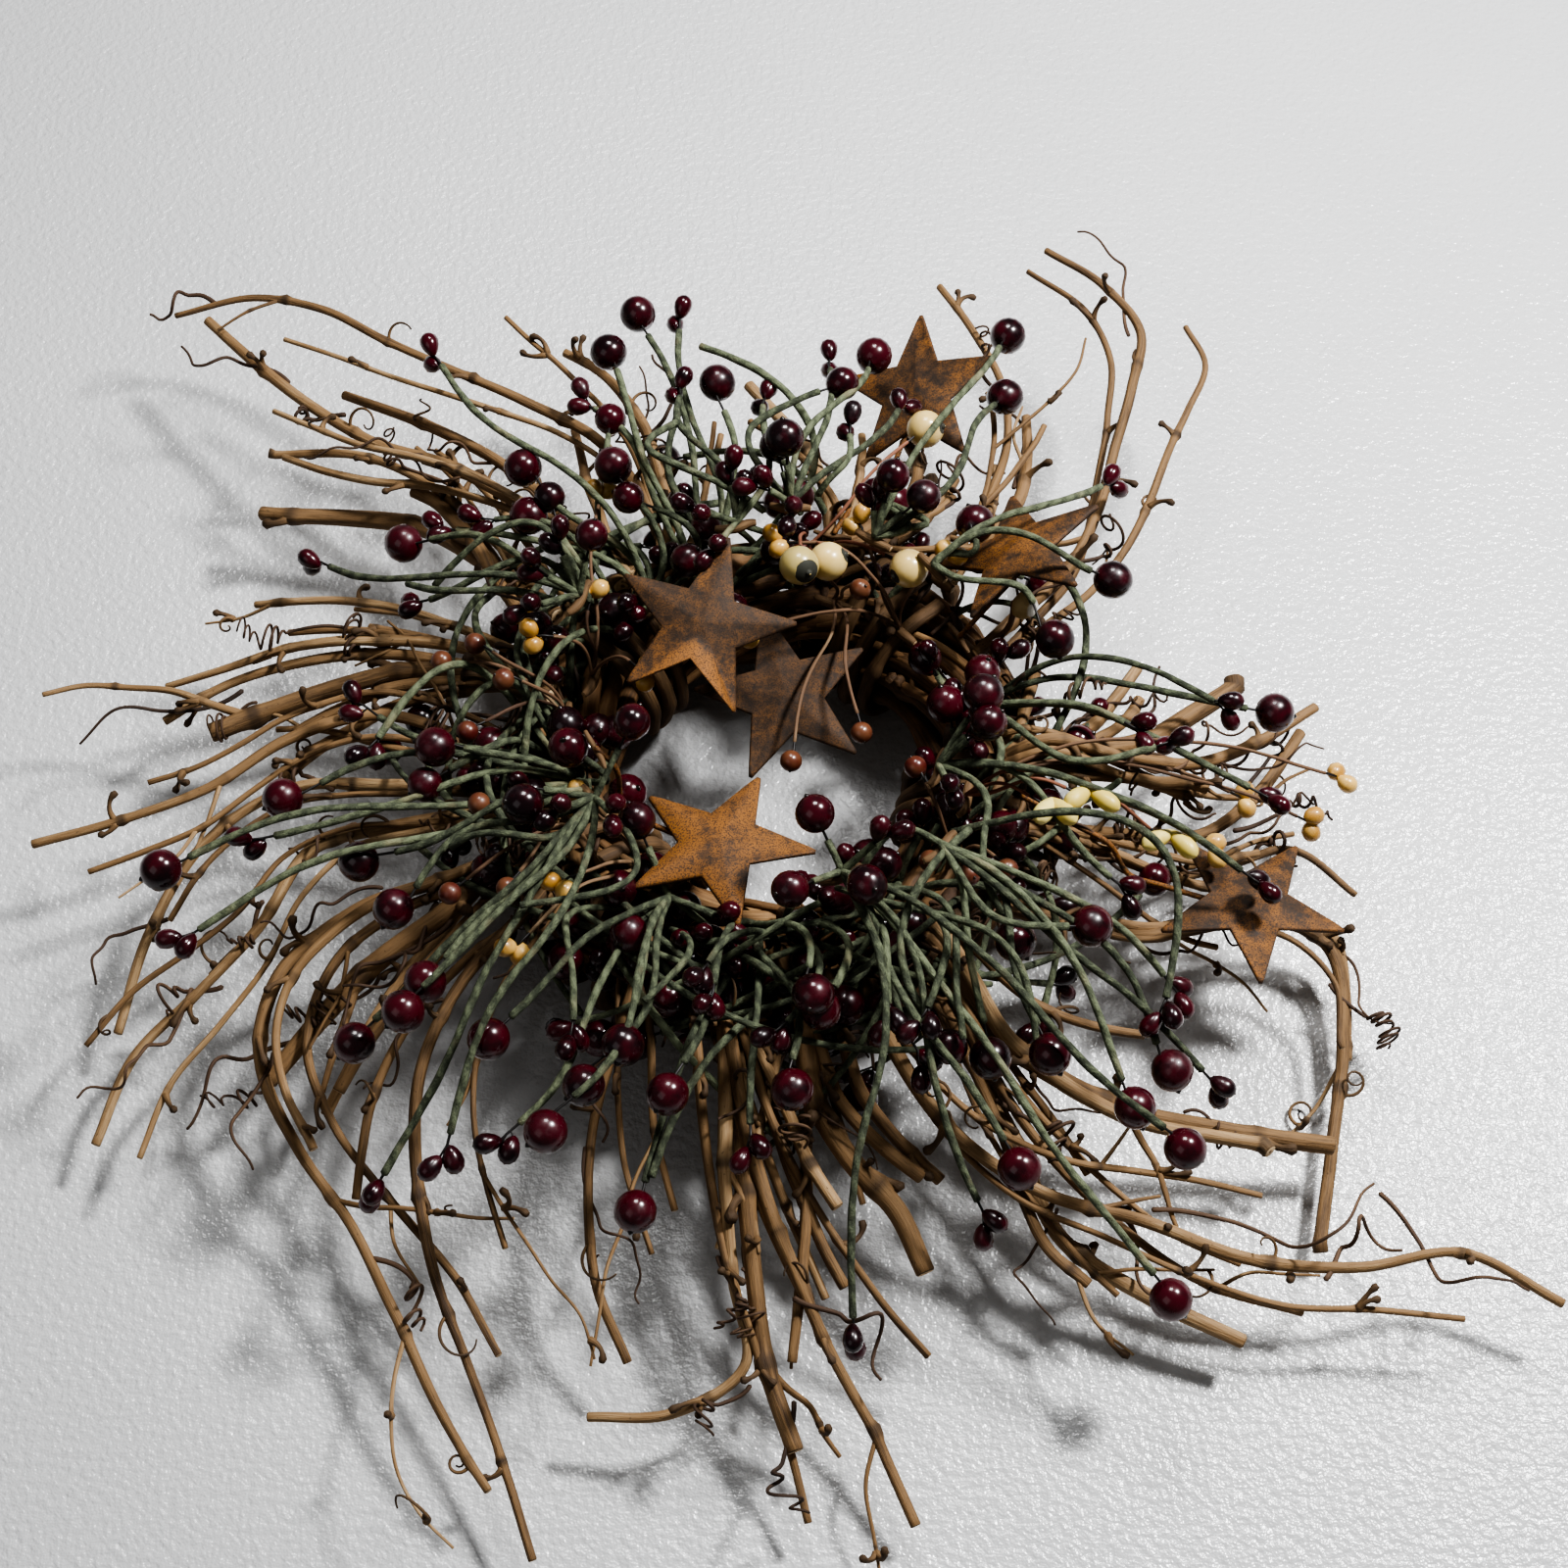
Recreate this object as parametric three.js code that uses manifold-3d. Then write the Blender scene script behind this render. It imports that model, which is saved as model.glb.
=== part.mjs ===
// Harvest door wreath, laid on its back as it is when it is off the door.
// Millimetres. +Z points away from the door, +Y is the top of the wreath and +X its right side.
//
// The wreath is a ring of twisted vines, held by four vine wraps. Bunches of dry canes and sprays of
// berries on wrapped wire are bound to the top of the ring and fan out from it. Six tin stars stand
// among them on stiff wires. Each bunch is laid down in turn and rests on what is already there.

import * as THREE from "three";
import { mergeVertices } from "three/addons/utils/BufferGeometryUtils.js";
import Module from "manifold-3d";

const wasm = await Module();
wasm.setup();

// ---- Driving sizes ----

const WREATH_WIDTH = 420; // across the wreath, cane tip to cane tip
const RING_RADIUS = 62; // middle line of the vine ring
const BUNDLE_RADIUS = 18; // the bundle of vines that makes the ring
const OUTER_TURNS = 12; // how often the outer vines pass round the ring
const INNER_TURNS = 3; // how often the core vine passes round the ring
const STEPS_ROUND = 18; // straight lengths in one turn of vine
const CLEAR = 0.5; // room left between pieces that touch
const LAYER_GAP = 1; // room between the core vine and the outer vines
const VINE_SIDES = 5;

const WRAP_RADIUS = 2.2; // thickness of a wrap vine, as a radius
const WRAP_STEPS = 12; // straight lengths in one turn of wrap
const WRAP_START = 1 / 6; // turns; with the half step it brings a straight length under the ring
const WRAP_SIDES = 6;
const WRAP_PITCH = 9; // degrees of ring from one turn of wrap to the next
const WRAP_FLAT = 1.2; // depth pressed flat where a wrap lies against the door

const CANE_SIDES = 5;
const STEM_SIDES = 5;
const STEM_RADIUS = 0.85; // wire wrapped in green paper
const THIN_STEM = 0.65; // brown wire stem
const BERRY_RADIUS = 5.6; // big berry
const PIP_RADIUS = 3.8; // pair of long pips
const HIP_RADIUS = 3.1; // small round hip
const BINDING_LENGTH = 12; // tape round the foot of a bunch
const BINDING_SIDES = 5;

const STAR_REACH = 27; // middle of a star to a tip
const STAR_WAIST = 11; // middle of a star to an inner corner
const STAR_RISE = 3; // pressed height of the middle
const STAR_SHEET = 1.1; // tin and its rust
const STAR_WIRE = 0.8; // stiff wire behind a star, as a radius

const TAU = 2 * Math.PI;

// ---- Where things sit ----

// The tables further down are written for a wreath 420 wide.
const SPREAD = WREATH_WIDTH / 420;

const chordDip = (radius, steps) => radius * (1 - Math.cos(Math.PI / steps));

// The outer vines pass round the ring side by side, so their thickness follows from the room there is.
const strandSlope = Math.atan2(BUNDLE_RADIUS * (1 + 1 / OUTER_TURNS), RING_RADIUS - BUNDLE_RADIUS);
const strandPitch = 2 * Math.sin(Math.PI / OUTER_TURNS) * Math.cos(strandSlope);
const VINE_RADIUS = (strandPitch * BUNDLE_RADIUS - CLEAR) / (2 + strandPitch);
const OUTER_LAYER = BUNDLE_RADIUS - VINE_RADIUS;
const INNER_LAYER = OUTER_LAYER - 2 * VINE_RADIUS - LAYER_GAP;

const wrapDip = chordDip(BUNDLE_RADIUS + 2 * WRAP_RADIUS, WRAP_STEPS);
const ringDip = chordDip(RING_RADIUS, STEPS_ROUND);
const WRAP_LAYER = BUNDLE_RADIUS + WRAP_RADIUS + wrapDip + ringDip + CLEAR;
const RING_HEIGHT = WRAP_LAYER + WRAP_RADIUS - WRAP_FLAT;
const RING_TOP = RING_HEIGHT + BUNDLE_RADIUS;

// A place on the wreath: bearing in degrees anticlockwise from the right, reach in millimetres from
// the middle on a wreath 420 wide, and height in hundredths of the height of the ring's top.
function place([bearing, reach, height]) {
  const angle = THREE.MathUtils.degToRad(bearing);
  const out = reach * SPREAD;
  return new THREE.Vector3(out * Math.cos(angle), out * Math.sin(angle), (height / 100) * RING_TOP);
}

// ---- Shapes ----

// One length of vine, cane, stem or berry. Each station is a point with a radius. A turned profile of
// those radii, closed on its axis at both ends, is bent along the stations.
// facing(point) gives the way the first side of the section looks, for sections that must not roll.
function bentLathe(stations, sides, facing) {
  const profile = stations.map((station, i) => new THREE.Vector2(station.radius, i));
  const lathe = new THREE.LatheGeometry(profile, sides);
  const frames = sectionFrames(stations, facing);
  const spots = lathe.getAttribute("position");
  const local = new THREE.Vector3();
  for (let i = 0; i < spots.count; i++) {
    local.fromBufferAttribute(spots, i);
    const index = Math.round(local.y);
    const frame = frames[index];
    const spot = stations[index].point.clone();
    spot.addScaledVector(frame.side, local.x);
    spot.addScaledVector(frame.up, local.z);
    spots.setXYZ(i, spot.x, spot.y, spot.z);
  }
  return toSolid(lathe);
}

function sectionFrames(stations, facing) {
  const frames = [];
  let side = null;
  for (let i = 0; i < stations.length; i++) {
    const before = stations[Math.max(i - 1, 0)].point;
    const after = stations[Math.min(i + 1, stations.length - 1)].point;
    const along = after.clone().sub(before).normalize();
    if (facing) {
      side = facing(stations[i].point);
    } else if (!side) {
      side = Math.abs(along.z) < 0.9 ? new THREE.Vector3(0, 0, 1) : new THREE.Vector3(1, 0, 0);
    }
    side = side.clone().addScaledVector(along, -side.dot(along)).normalize();
    frames.push({ side, along, up: new THREE.Vector3().crossVectors(side, along) });
  }
  return frames;
}

function toSolid(geometry) {
  const bare = geometry.clone();
  bare.deleteAttribute("normal");
  bare.deleteAttribute("uv");
  const merged = mergeVertices(bare, 1e-5);
  const corners = merged.getIndex().array;
  const kept = [];
  for (let i = 0; i < corners.length; i += 3) {
    const [a, b, c] = [corners[i], corners[i + 1], corners[i + 2]];
    if (a !== b && b !== c && c !== a) kept.push(a, b, c);
  }
  const vertProperties = new Float32Array(merged.getAttribute("position").array);
  return new wasm.Manifold(new wasm.Mesh({ numProp: 3, vertProperties, triVerts: new Uint32Array(kept) }));
}

function toGeometry(solid) {
  const mesh = solid.getMesh();
  const geometry = new THREE.BufferGeometry();
  geometry.setAttribute("position", new THREE.BufferAttribute(mesh.vertProperties, 3));
  geometry.setIndex(new THREE.BufferAttribute(mesh.triVerts, 1));
  return geometry;
}

// ---- Laying pieces on the wreath ----

const MAX_PASSES = 200;
const PULL_SHARE = 0.4; // how much of its own rise a station gives to the stations beside it
const SETTLE_STEP = 0.05; // a piece that is lifted is lifted at least this far
const SAMPLE_SHARES = [0, 0.25, 0.5, 0.75, 1]; // where along a length its distance to another is taken

// Everything already laid, as short round lengths that later pieces keep clear of.
const laid = [];

function remember(stations, links, piece, isFoot = () => false) {
  for (const [i, j] of links) {
    const [a, b] = [stations[i], stations[j]];
    laid.push({ from: a.point, to: b.point, r1: a.radius, r2: b.radius, piece, foot: isFoot(a.point) });
  }
}

const chain = (stations) => stations.slice(1).map((_, i) => [i, i + 1]);

const flatten = (point) => new THREE.Vector3(point.x, point.y, 0);
const clamp = (value) => THREE.MathUtils.clamp(value, 0, 1);

// The share of the length c-d that is nearest to a point.
function shareAlong(point, c, d) {
  const along = d.clone().sub(c);
  return clamp(point.clone().sub(c).dot(along) / Math.max(along.lengthSq(), 1e-9));
}

// Shares of a-b and c-d where the two may touch: where their middle lines are nearest, and at even
// steps along each, because the lengths can be much thicker at one end.
function touchingShares(a, b, c, d) {
  const ab = b.clone().sub(a);
  const cd = d.clone().sub(c);
  const ca = a.clone().sub(c);
  const slack = ab.lengthSq() * cd.lengthSq() - ab.dot(cd) ** 2;
  const first = slack > 1e-9 ? clamp((ab.dot(cd) * cd.dot(ca) - cd.lengthSq() * ab.dot(ca)) / slack) : 0;
  const t = shareAlong(a.clone().lerp(b, first), c, d);
  const s = shareAlong(c.clone().lerp(d, t), a, b);
  const pairs = [[s, t]];
  for (const share of SAMPLE_SHARES) {
    pairs.push([share, shareAlong(a.clone().lerp(b, share), c, d)]);
    pairs.push([shareAlong(c.clone().lerp(d, share), a, b), share]);
  }
  return pairs;
}

// How far the length a-b must rise to clear another length, and at which share of a-b they meet.
// With fromAbove it must end up over the other one, however far under it starts. The part of a-b that
// is still inside its own foot is left out, because the foot is clear already.
function riseNeeded(a, b, other, fromAbove, isInFoot) {
  const room = Math.max(a.radius, b.radius) + Math.max(other.r1, other.r2) + CLEAR;
  for (const axis of ["x", "y"]) {
    const low = Math.min(a.point[axis], b.point[axis]) - room;
    const high = Math.max(a.point[axis], b.point[axis]) + room;
    if (low > Math.max(other.from[axis], other.to[axis])) return null;
    if (high < Math.min(other.from[axis], other.to[axis])) return null;
  }
  const ends = [a.point, b.point, other.from, other.to];
  let worst = null;
  for (const [s, t] of touchingShares(...(fromAbove ? ends.map(flatten) : ends))) {
    const own = a.point.clone().lerp(b.point, s);
    if (isInFoot(own)) continue;
    const its = other.from.clone().lerp(other.to, t);
    const ownRadius = THREE.MathUtils.lerp(a.radius, b.radius, s);
    const itsRadius = THREE.MathUtils.lerp(other.r1, other.r2, t);
    const need = ownRadius + itsRadius + CLEAR;
    const beside = Math.hypot(own.x - its.x, own.y - its.y);
    if (fromAbove ? beside >= need : own.distanceTo(its) >= need) continue;
    const rise = Math.sqrt(need * need - beside * beside) - (own.z - its.z) + SETTLE_STEP;
    if (!worst || rise > worst.rise) worst = { rise, share: s };
  }
  return worst;
}


// Raises a strand until it rests clear of what it would otherwise cut into. Its first station is the
// middle of its foot and stays where it is. Stations marked stiff rise together; the others bend, and
// carry their neighbours part of the way.
function settle(stations, links, piece, footRadius) {
  const others = laid.filter((other) => other.piece !== piece || !other.foot);
  const root = stations[0].point;
  const isInFoot = (point) => point.distanceTo(root) < footRadius;
  for (let pass = 0; pass < MAX_PASSES; pass++) {
    const rises = stations.map(() => 0);
    for (const [i, j] of links) {
      for (const other of others) {
        const need = riseNeeded(stations[i], stations[j], other, false, isInFoot);
        if (!need) continue;
        if (need.share < 0.85) rises[i] = Math.max(rises[i], need.rise);
        if (need.share > 0.15 || i === 0) rises[j] = Math.max(rises[j], need.rise);
      }
    }
    rises[0] = 0;
    if (Math.max(...rises) <= 0) return;
    const pull = (i) => PULL_SHARE * (rises[i] || 0);
    const eased = rises.map((rise, i) => Math.max(rise, pull(i - 1), pull(i + 1)));
    const stiffRise = Math.max(0, ...eased.filter((_, i) => stations[i].stiff));
    stations.forEach((station, i) => {
      if (i > 0) station.point.z += station.stiff ? stiffRise : eased[i];
    });
  }
}

// Drops a stiff piece from above until it rests on what is under it.
function drop(stations, links) {
  let rise = -Infinity;
  for (const [i, j] of links) {
    for (const other of laid) {
      const need = riseNeeded(stations[i], stations[j], other, true, () => false);
      if (need) rise = Math.max(rise, need.rise);
    }
  }
  for (const station of stations) station.point.z += rise;
}

// ---- Pieces ----

const wreath = new THREE.Group();
wreath.name = "harvest_door_wreath";

const FINISHES = {
  vine_bark: { color: 0x7a5230, roughness: 0.85 },
  wrap_bark: { color: 0x5f3f26, roughness: 0.85 },
  cane_bark: { color: 0xa67a43, roughness: 0.8 },
  burgundy_berry: { color: 0x4a0f1a, roughness: 0.25 },
  brown_hip: { color: 0x7d4030, roughness: 0.45 },
  mustard_pip: { color: 0xc99a45, roughness: 0.4 },
  cream_berry: { color: 0xe3d7a8, roughness: 0.5 },
  yellow_pip: { color: 0xe6d684, roughness: 0.5 },
  rusty_tin: { color: 0x5a3820, roughness: 0.75, metalness: 0.4 },
};

function addPiece(name, solid, slot) {
  const finish = FINISHES[slot];
  const material = new THREE.MeshStandardMaterial({ metalness: 0, ...finish });
  material.name = slot;
  const mesh = new THREE.Mesh(toGeometry(solid), material);
  mesh.name = name;
  wreath.add(mesh);
}

const join = (solids) => solids.reduce((whole, next) => whole.add(next));

// ---- Ring vines ----

// A point on a layer of the ring. turn counts revolutions round the ring, and lay is how many times
// the vine also goes round the bundle in each of them.
function ringPoint(turn, layer, lay) {
  const roll = TAU * turn * lay;
  const reach = RING_RADIUS + layer * Math.cos(roll);
  const bearing = TAU * turn;
  return new THREE.Vector3(
    reach * Math.cos(bearing),
    reach * Math.sin(bearing),
    RING_HEIGHT + layer * Math.sin(roll),
  );
}

// The way out from the middle of the bundle at a point on the ring.
function awayFromBundle(point) {
  const middle = new THREE.Vector3(point.x, point.y, 0).setLength(RING_RADIUS);
  middle.z = RING_HEIGHT;
  return point.clone().sub(middle).normalize();
}

function vineStations(firstStep, lastStep, layer, lay, radius) {
  const stations = [];
  for (let step = firstStep; step <= lastStep; step++) {
    const swell = 0.92 + 0.08 * Math.cos(step * 1.7);
    const taper = step === firstStep || step === lastStep ? 0.75 : 1;
    stations.push({ point: ringPoint(step / STEPS_ROUND, layer, lay), radius: radius * swell * taper });
  }
  return withEnds(stations, 0.8 * radius);
}

// Closes both ends of a length with a low point.
function withEnds(stations, cap) {
  const ends = [stations[0], stations.at(-1)];
  const inner = [stations[1], stations.at(-2)];
  const points = ends.map((end, i) => {
    const away = end.point.clone().sub(inner[i].point).setLength(cap);
    return { point: end.point.clone().add(away), radius: 0, stiff: end.stiff };
  });
  return [points[0], ...stations, points[1]];
}

// The outer vines follow one line that closes after twelve turns. Their ends fall at different places.
const OUTER_VINE_TURNS = [3, 2.8, 3.1, 3.1];
const outerLay = 1 + 1 / OUTER_TURNS;
let nextStep = 4;
OUTER_VINE_TURNS.forEach((turns, i) => {
  const steps = Math.round(turns * STEPS_ROUND);
  const stations = vineStations(nextStep, nextStep + steps - 1, OUTER_LAYER, outerLay, VINE_RADIUS);
  nextStep += steps;
  const name = `ring_vine_outer_${i + 1}`;
  remember(stations, chain(stations), name);
  addPiece(name, bentLathe(stations, VINE_SIDES, awayFromBundle), "vine_bark");
});

const coreLay = 1 / INNER_TURNS;
const coreSteps = INNER_TURNS * STEPS_ROUND;
const coreVine = vineStations(0, coreSteps - 1, INNER_LAYER, coreLay, VINE_RADIUS);
addPiece("ring_vine_core", bentLathe(coreVine, VINE_SIDES, awayFromBundle), "vine_bark");

// ---- Wrap vines ----

// Each wrap goes round the bundle a little over twice, and ends tucked on top of the ring.
const WRAPS = [
  { bearing: 52, turns: 2 },
  { bearing: 138, turns: 2 },
  { bearing: 224, turns: 3 },
  { bearing: 344, turns: 2 },
];

function wrapStations({ bearing, turns }) {
  const stations = [];
  const steps = turns * WRAP_STEPS + 4;
  for (let step = 0; step <= steps; step++) {
    const along = step / WRAP_STEPS;
    const roll = TAU * (along + 0.5 / WRAP_STEPS + WRAP_START);
    const angle = THREE.MathUtils.degToRad(bearing + (along - turns / 2) * WRAP_PITCH);
    const reach = RING_RADIUS + WRAP_LAYER * Math.cos(roll);
    const point = new THREE.Vector3(
      reach * Math.cos(angle),
      reach * Math.sin(angle),
      RING_HEIGHT + WRAP_LAYER * Math.sin(roll),
    );
    stations.push({ point, radius: WRAP_RADIUS });
  }
  return withEnds(stations, WRAP_RADIUS * 0.8);
}

// Presses everything below the door flat against it.
function pressFlat(solid) {
  return solid.warp((vertex) => {
    vertex[2] = Math.max(vertex[2], 0);
  });
}

WRAPS.forEach((wrap, i) => {
  const name = `wrap_vine_${i + 1}`;
  const stations = wrapStations(wrap);
  remember(stations, chain(stations), name);
  addPiece(name, pressFlat(bentLathe(stations, WRAP_SIDES, awayFromBundle)), "wrap_bark");
});

// ---- Bunches ----

// The bound foot of a bunch: a short round length laid along the ring and dropped onto it.
function binding(name, bearing, out, radius) {
  const angle = THREE.MathUtils.degToRad(bearing);
  const reach = RING_RADIUS + out;
  const middle = new THREE.Vector3(reach * Math.cos(angle), reach * Math.sin(angle), RING_TOP * 0.9);
  const along = new THREE.Vector3(-Math.sin(angle), Math.cos(angle), 0);
  const stations = [-0.5, 0.5].map((share) => ({
    point: middle.clone().addScaledVector(along, share * BINDING_LENGTH),
    radius,
    stiff: true,
  }));
  const foot = withEnds(stations, 0.7 * radius);
  drop(foot, chain(foot));
  remember(foot, chain(foot), name, () => true);
  return foot;
}

// Shares a bunch's foot between its strands. Strands of one bunch also keep clear of each other
// once they have left the foot.
function bunch(name, slot, bearing, out, radius, strands, sides) {
  const foot = binding(name, bearing, out, radius);
  const root = foot[1].point.clone().lerp(foot[2].point, 0.5);
  const isFoot = (point) => point.distanceTo(root) < 4 * radius;
  const solids = [bentLathe(foot, BINDING_SIDES)];
  for (const strand of strands) {
    const made = strand(root);
    settle(made.stations, made.links, name, radius);
    remember(made.stations, made.links, name, isFoot);
    solids.push(...made.solids(sides));
  }
  addPiece(name, join(solids), slot);
}

// ---- Canes ----

// A cane runs from the foot of its bunch through the places listed, and thins towards its tip.
function cane(radius, tipRadius, places) {
  return (root) => {
    const curve = new THREE.CatmullRomCurve3([root, ...places.map(place)], false, "centripetal");
    const count = places.length + 2;
    const stations = [{ point: root.clone(), radius: 0 }];
    for (let i = 0; i <= count; i++) {
      const share = 0.1 + (0.9 * i) / count;
      const thickness = THREE.MathUtils.lerp(radius, tipRadius, share);
      stations.push({ point: curve.getPointAt(share), radius: thickness });
    }
    const closed = withEnds(stations.slice(1), tipRadius * 0.5);
    const whole = [stations[0], ...closed.slice(1)];
    const links = chain(whole);
    return { stations: whole, links, solids: (sides) => [bentLathe(whole, sides)] };
  };
}

// bearing and out place the foot on the ring; then each cane's radius, tip radius and places.
const CANE_BUNCHES = [
  { name: "cane_bunch_01", bearing: 320, out: 12, canes: [
    [2.1, 1.8, [[334, 122, 70], [344, 156, 52], [336, 176, 30], [317, 204, 20]]],
    [2, 1.8, [[340, 130, 62], [346, 156, 50], [351, 174, 48]]],
    [1.9, 1.5, [[332, 133, 50], [340, 167, 32], [347, 204, 22]]],
  ] },
  { name: "cane_bunch_02", bearing: 302, out: 4, canes: [
    [2.3, 2, [[300, 130, 75], [299, 163, 56], [307, 208, 34]]],
    [1.6, 1.1, [[302, 140, 70], [307, 189, 46], [312, 212, 30]]],
    [2.9, 2.4, [[309, 132, 74], [324, 190, 40]]],
    [1.6, 1.2, [[313, 130, 62], [316, 153, 46], [321, 180, 30], [328, 212, 22]]],
  ] },
  { name: "cane_bunch_03", bearing: 288, out: 13, canes: [
    [2.1, 1.3, [[294, 137, 96], [308, 178, 70], [313, 205, 64], [322, 236, 58], [323, 262, 48]]],
    [2.4, 1.8, [[297, 148, 84], [312, 188, 72], [320, 226, 62]]],
  ] },
  { name: "cane_bunch_04", bearing: 274, out: 4, canes: [
    [1.8, 1.4, [[275, 120, 92], [274, 143, 80], [272, 175, 58]]],
    [3, 2.6, [[278, 117, 98], [284, 141, 82], [285, 158, 72]]],
    [3, 2.2, [[280, 117, 96], [287, 146, 76], [297, 182, 54]]],
  ] },
  { name: "cane_bunch_05", bearing: 261, out: 13, canes: [
    [3.1, 2.2, [[267, 129, 92], [270, 176, 60], [272, 197, 48]]],
    [2.2, 1.2, [[266, 150, 80], [268, 176, 60], [263, 188, 48], [256, 193, 40]]],
    [2, 1.4, [[266, 105, 102], [269, 126, 90], [275, 170, 54], [280, 217, 26]]],
  ] },
  { name: "cane_bunch_06", bearing: 246, out: 4, canes: [
    [1.6, 1.2, [[247, 120, 84], [253, 159, 62], [258, 177, 44]]],
    [2, 1.6, [[252, 147, 78], [258, 163, 68], [263, 191, 48]]],
    [2, 1.7, [[256, 120, 86], [262, 140, 72], [268, 174, 54]]],
    [1.8, 1.2, [[243, 161, 62], [257, 169, 50], [270, 199, 28]]],
  ] },
  { name: "cane_bunch_07", bearing: 233, out: 13, canes: [
    [3, 2.8, [[233, 117, 96], [243, 160, 56], [247, 184, 34]]],
    [2.6, 2.3, [[236, 120, 88], [242, 152, 72], [246, 199, 52]]],
    [2, 1, [[238, 118, 86], [246, 152, 62], [252, 186, 44]]],
  ] },
  { name: "cane_bunch_08", bearing: 220, out: 3, canes: [
    [2, 1.1, [[222, 112, 100], [228, 141, 90], [238, 170, 72], [250, 204, 48], [255, 231, 32]]],
    [3, 2.8, [[224, 110, 98], [232, 133, 86], [244, 178, 54], [248, 195, 44]]],
  ] },
  { name: "cane_bunch_09", bearing: 207, out: 13, canes: [
    [2.2, 1.2, [
      [205, 139, 96], [210, 158, 82], [219, 171, 72], [227, 173, 66], [245, 204, 54], [251, 219, 46],
    ]],
    [2.9, 2.6, [[212, 130, 84], [215, 167, 58]]],
  ] },
  { name: "cane_bunch_10", bearing: 195, out: 3, canes: [
    [1.9, 1.3, [[184, 147, 74], [194, 179, 54], [203, 198, 36]]],
    [2, 1.3, [[194, 138, 80], [201, 154, 68], [206, 194, 48], [211, 215, 36]]],
    [3, 2.8, [[193, 121, 86], [198, 167, 66]]],
  ] },
  { name: "cane_bunch_11", bearing: 181, out: 12, canes: [
    [1.8, 1.3, [[175, 121, 96], [185, 168, 84], [187, 211, 74]]],
    [3, 2.7, [[182, 110, 90], [186, 146, 82], [193, 167, 72]]],
  ] },
  { name: "cane_bunch_12", bearing: 165, out: 3, canes: [
    [2, 1.1, [[159, 98, 98], [164, 137, 92], [168, 158, 82], [171, 180, 70]]],
    [1.8, 1.4, [[163, 119, 88], [169, 157, 74], [174, 179, 60]]],
    [3, 2.7, [[166, 106, 92], [170, 129, 84], [176, 163, 74]]],
  ] },
  { name: "cane_bunch_13", bearing: 145, out: 12, canes: [
    [1.8, 1.2, [[138, 160, 80], [144, 192, 72]]],
    [3, 2.7, [[135, 125, 86], [144, 169, 74]]],
    [3, 2.4, [[142, 136, 74], [149, 183, 58]]],
  ] },
  { name: "cane_bunch_14", bearing: 129, out: 3, canes: [
    [2, 1.6, [[135, 129, 106], [139, 161, 104], [139, 197, 96], [138, 240, 86]]],
    [2.6, 2.4, [[139, 152, 96], [144, 212, 86]]],
    [2.1, 1.5, [[129, 136, 88], [135, 189, 78]]],
  ] },
  { name: "cane_bunch_15", bearing: 113, out: 11, canes: [
    [1.8, 1, [[117, 121, 116], [124, 150, 116], [129, 185, 110], [133, 228, 98], [139, 251, 80]]],
    [2.7, 2.4, [[114, 117, 106], [126, 162, 104], [134, 223, 92]]],
    [2, 1.5, [[109, 128, 108], [114, 158, 96]]],
  ] },
  { name: "cane_bunch_16", bearing: 74, out: 4, canes: [
    [2, 1.7, [[81, 96, 112], [93, 131, 98]]],
    [2.2, 1.9, [[60, 90, 106], [64, 112, 80]]],
    [2.2, 1.8, [[64, 104, 98], [70, 122, 82]]],
  ] },
  { name: "cane_bunch_17", bearing: 46, out: 12, canes: [
    [2.2, 1.6, [[49, 117, 98], [57, 145, 88]]],
    [2.9, 2.5, [[47, 118, 86], [48, 142, 74]]],
    [1.7, 1.1, [[55, 125, 100], [62, 152, 94], [73, 184, 82]]],
  ] },
  { name: "cane_bunch_18", bearing: 29, out: 5, canes: [
    [2, 1.2, [[35, 109, 106], [46, 154, 114], [51, 184, 120], [56, 193, 122], [64, 198, 118]]],
    [1.8, 1.3, [[35, 111, 100], [43, 145, 100]]],
    [2.2, 1.8, [[42, 130, 96], [54, 156, 86]]],
  ] },
  { name: "cane_bunch_19", bearing: 354, out: 4, canes: [
    [2.9, 2.7, [[358, 100, 104], [11, 138, 88]]],
    [2, 1.6, [[358, 118, 82], [8, 162, 64]]],
    [2.2, 1.8, [[3, 90, 98], [16, 112, 84]]],
  ] },
  { name: "cane_bunch_20", bearing: 337, out: 10, canes: [
    [2, 1.6, [[352, 129, 62], [6, 157, 54]]],
    [1.8, 1.3, [[349, 117, 64], [355, 157, 44]]],
    [1.5, 1, [[345, 126, 60], [352, 149, 46], [349, 172, 32]]],
  ] },
];

const CANE_BINDING = 3.6;
CANE_BUNCHES.forEach(({ name, bearing, out, canes }) => {
  const strands = canes.map(([radius, tipRadius, places]) => cane(radius, tipRadius, places));
  bunch(name, "cane_bark", bearing, out, CANE_BINDING, strands, CANE_SIDES);
});

// ---- Stars ----

// A pressed tin star: a turned shape of ten sides with every other rim corner pulled in to the waist.
function starBlank() {
  const sheet = new THREE.LatheGeometry([
    new THREE.Vector2(0, -STAR_SHEET),
    new THREE.Vector2(STAR_REACH, -STAR_SHEET - STAR_RISE),
    new THREE.Vector2(STAR_REACH, -STAR_RISE),
    new THREE.Vector2(0, 0),
  ], 10);
  const spots = sheet.getAttribute("position");
  for (let i = 0; i < spots.count; i++) {
    const angle = Math.atan2(spots.getX(i), spots.getZ(i));
    const corner = Math.round((angle / TAU) * 10);
    const pull = Math.abs(corner % 2) === 1 ? STAR_WAIST / STAR_REACH : 1;
    spots.setXYZ(i, spots.getX(i) * pull, spots.getY(i), spots.getZ(i) * pull);
  }
  return sheet;
}

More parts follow.
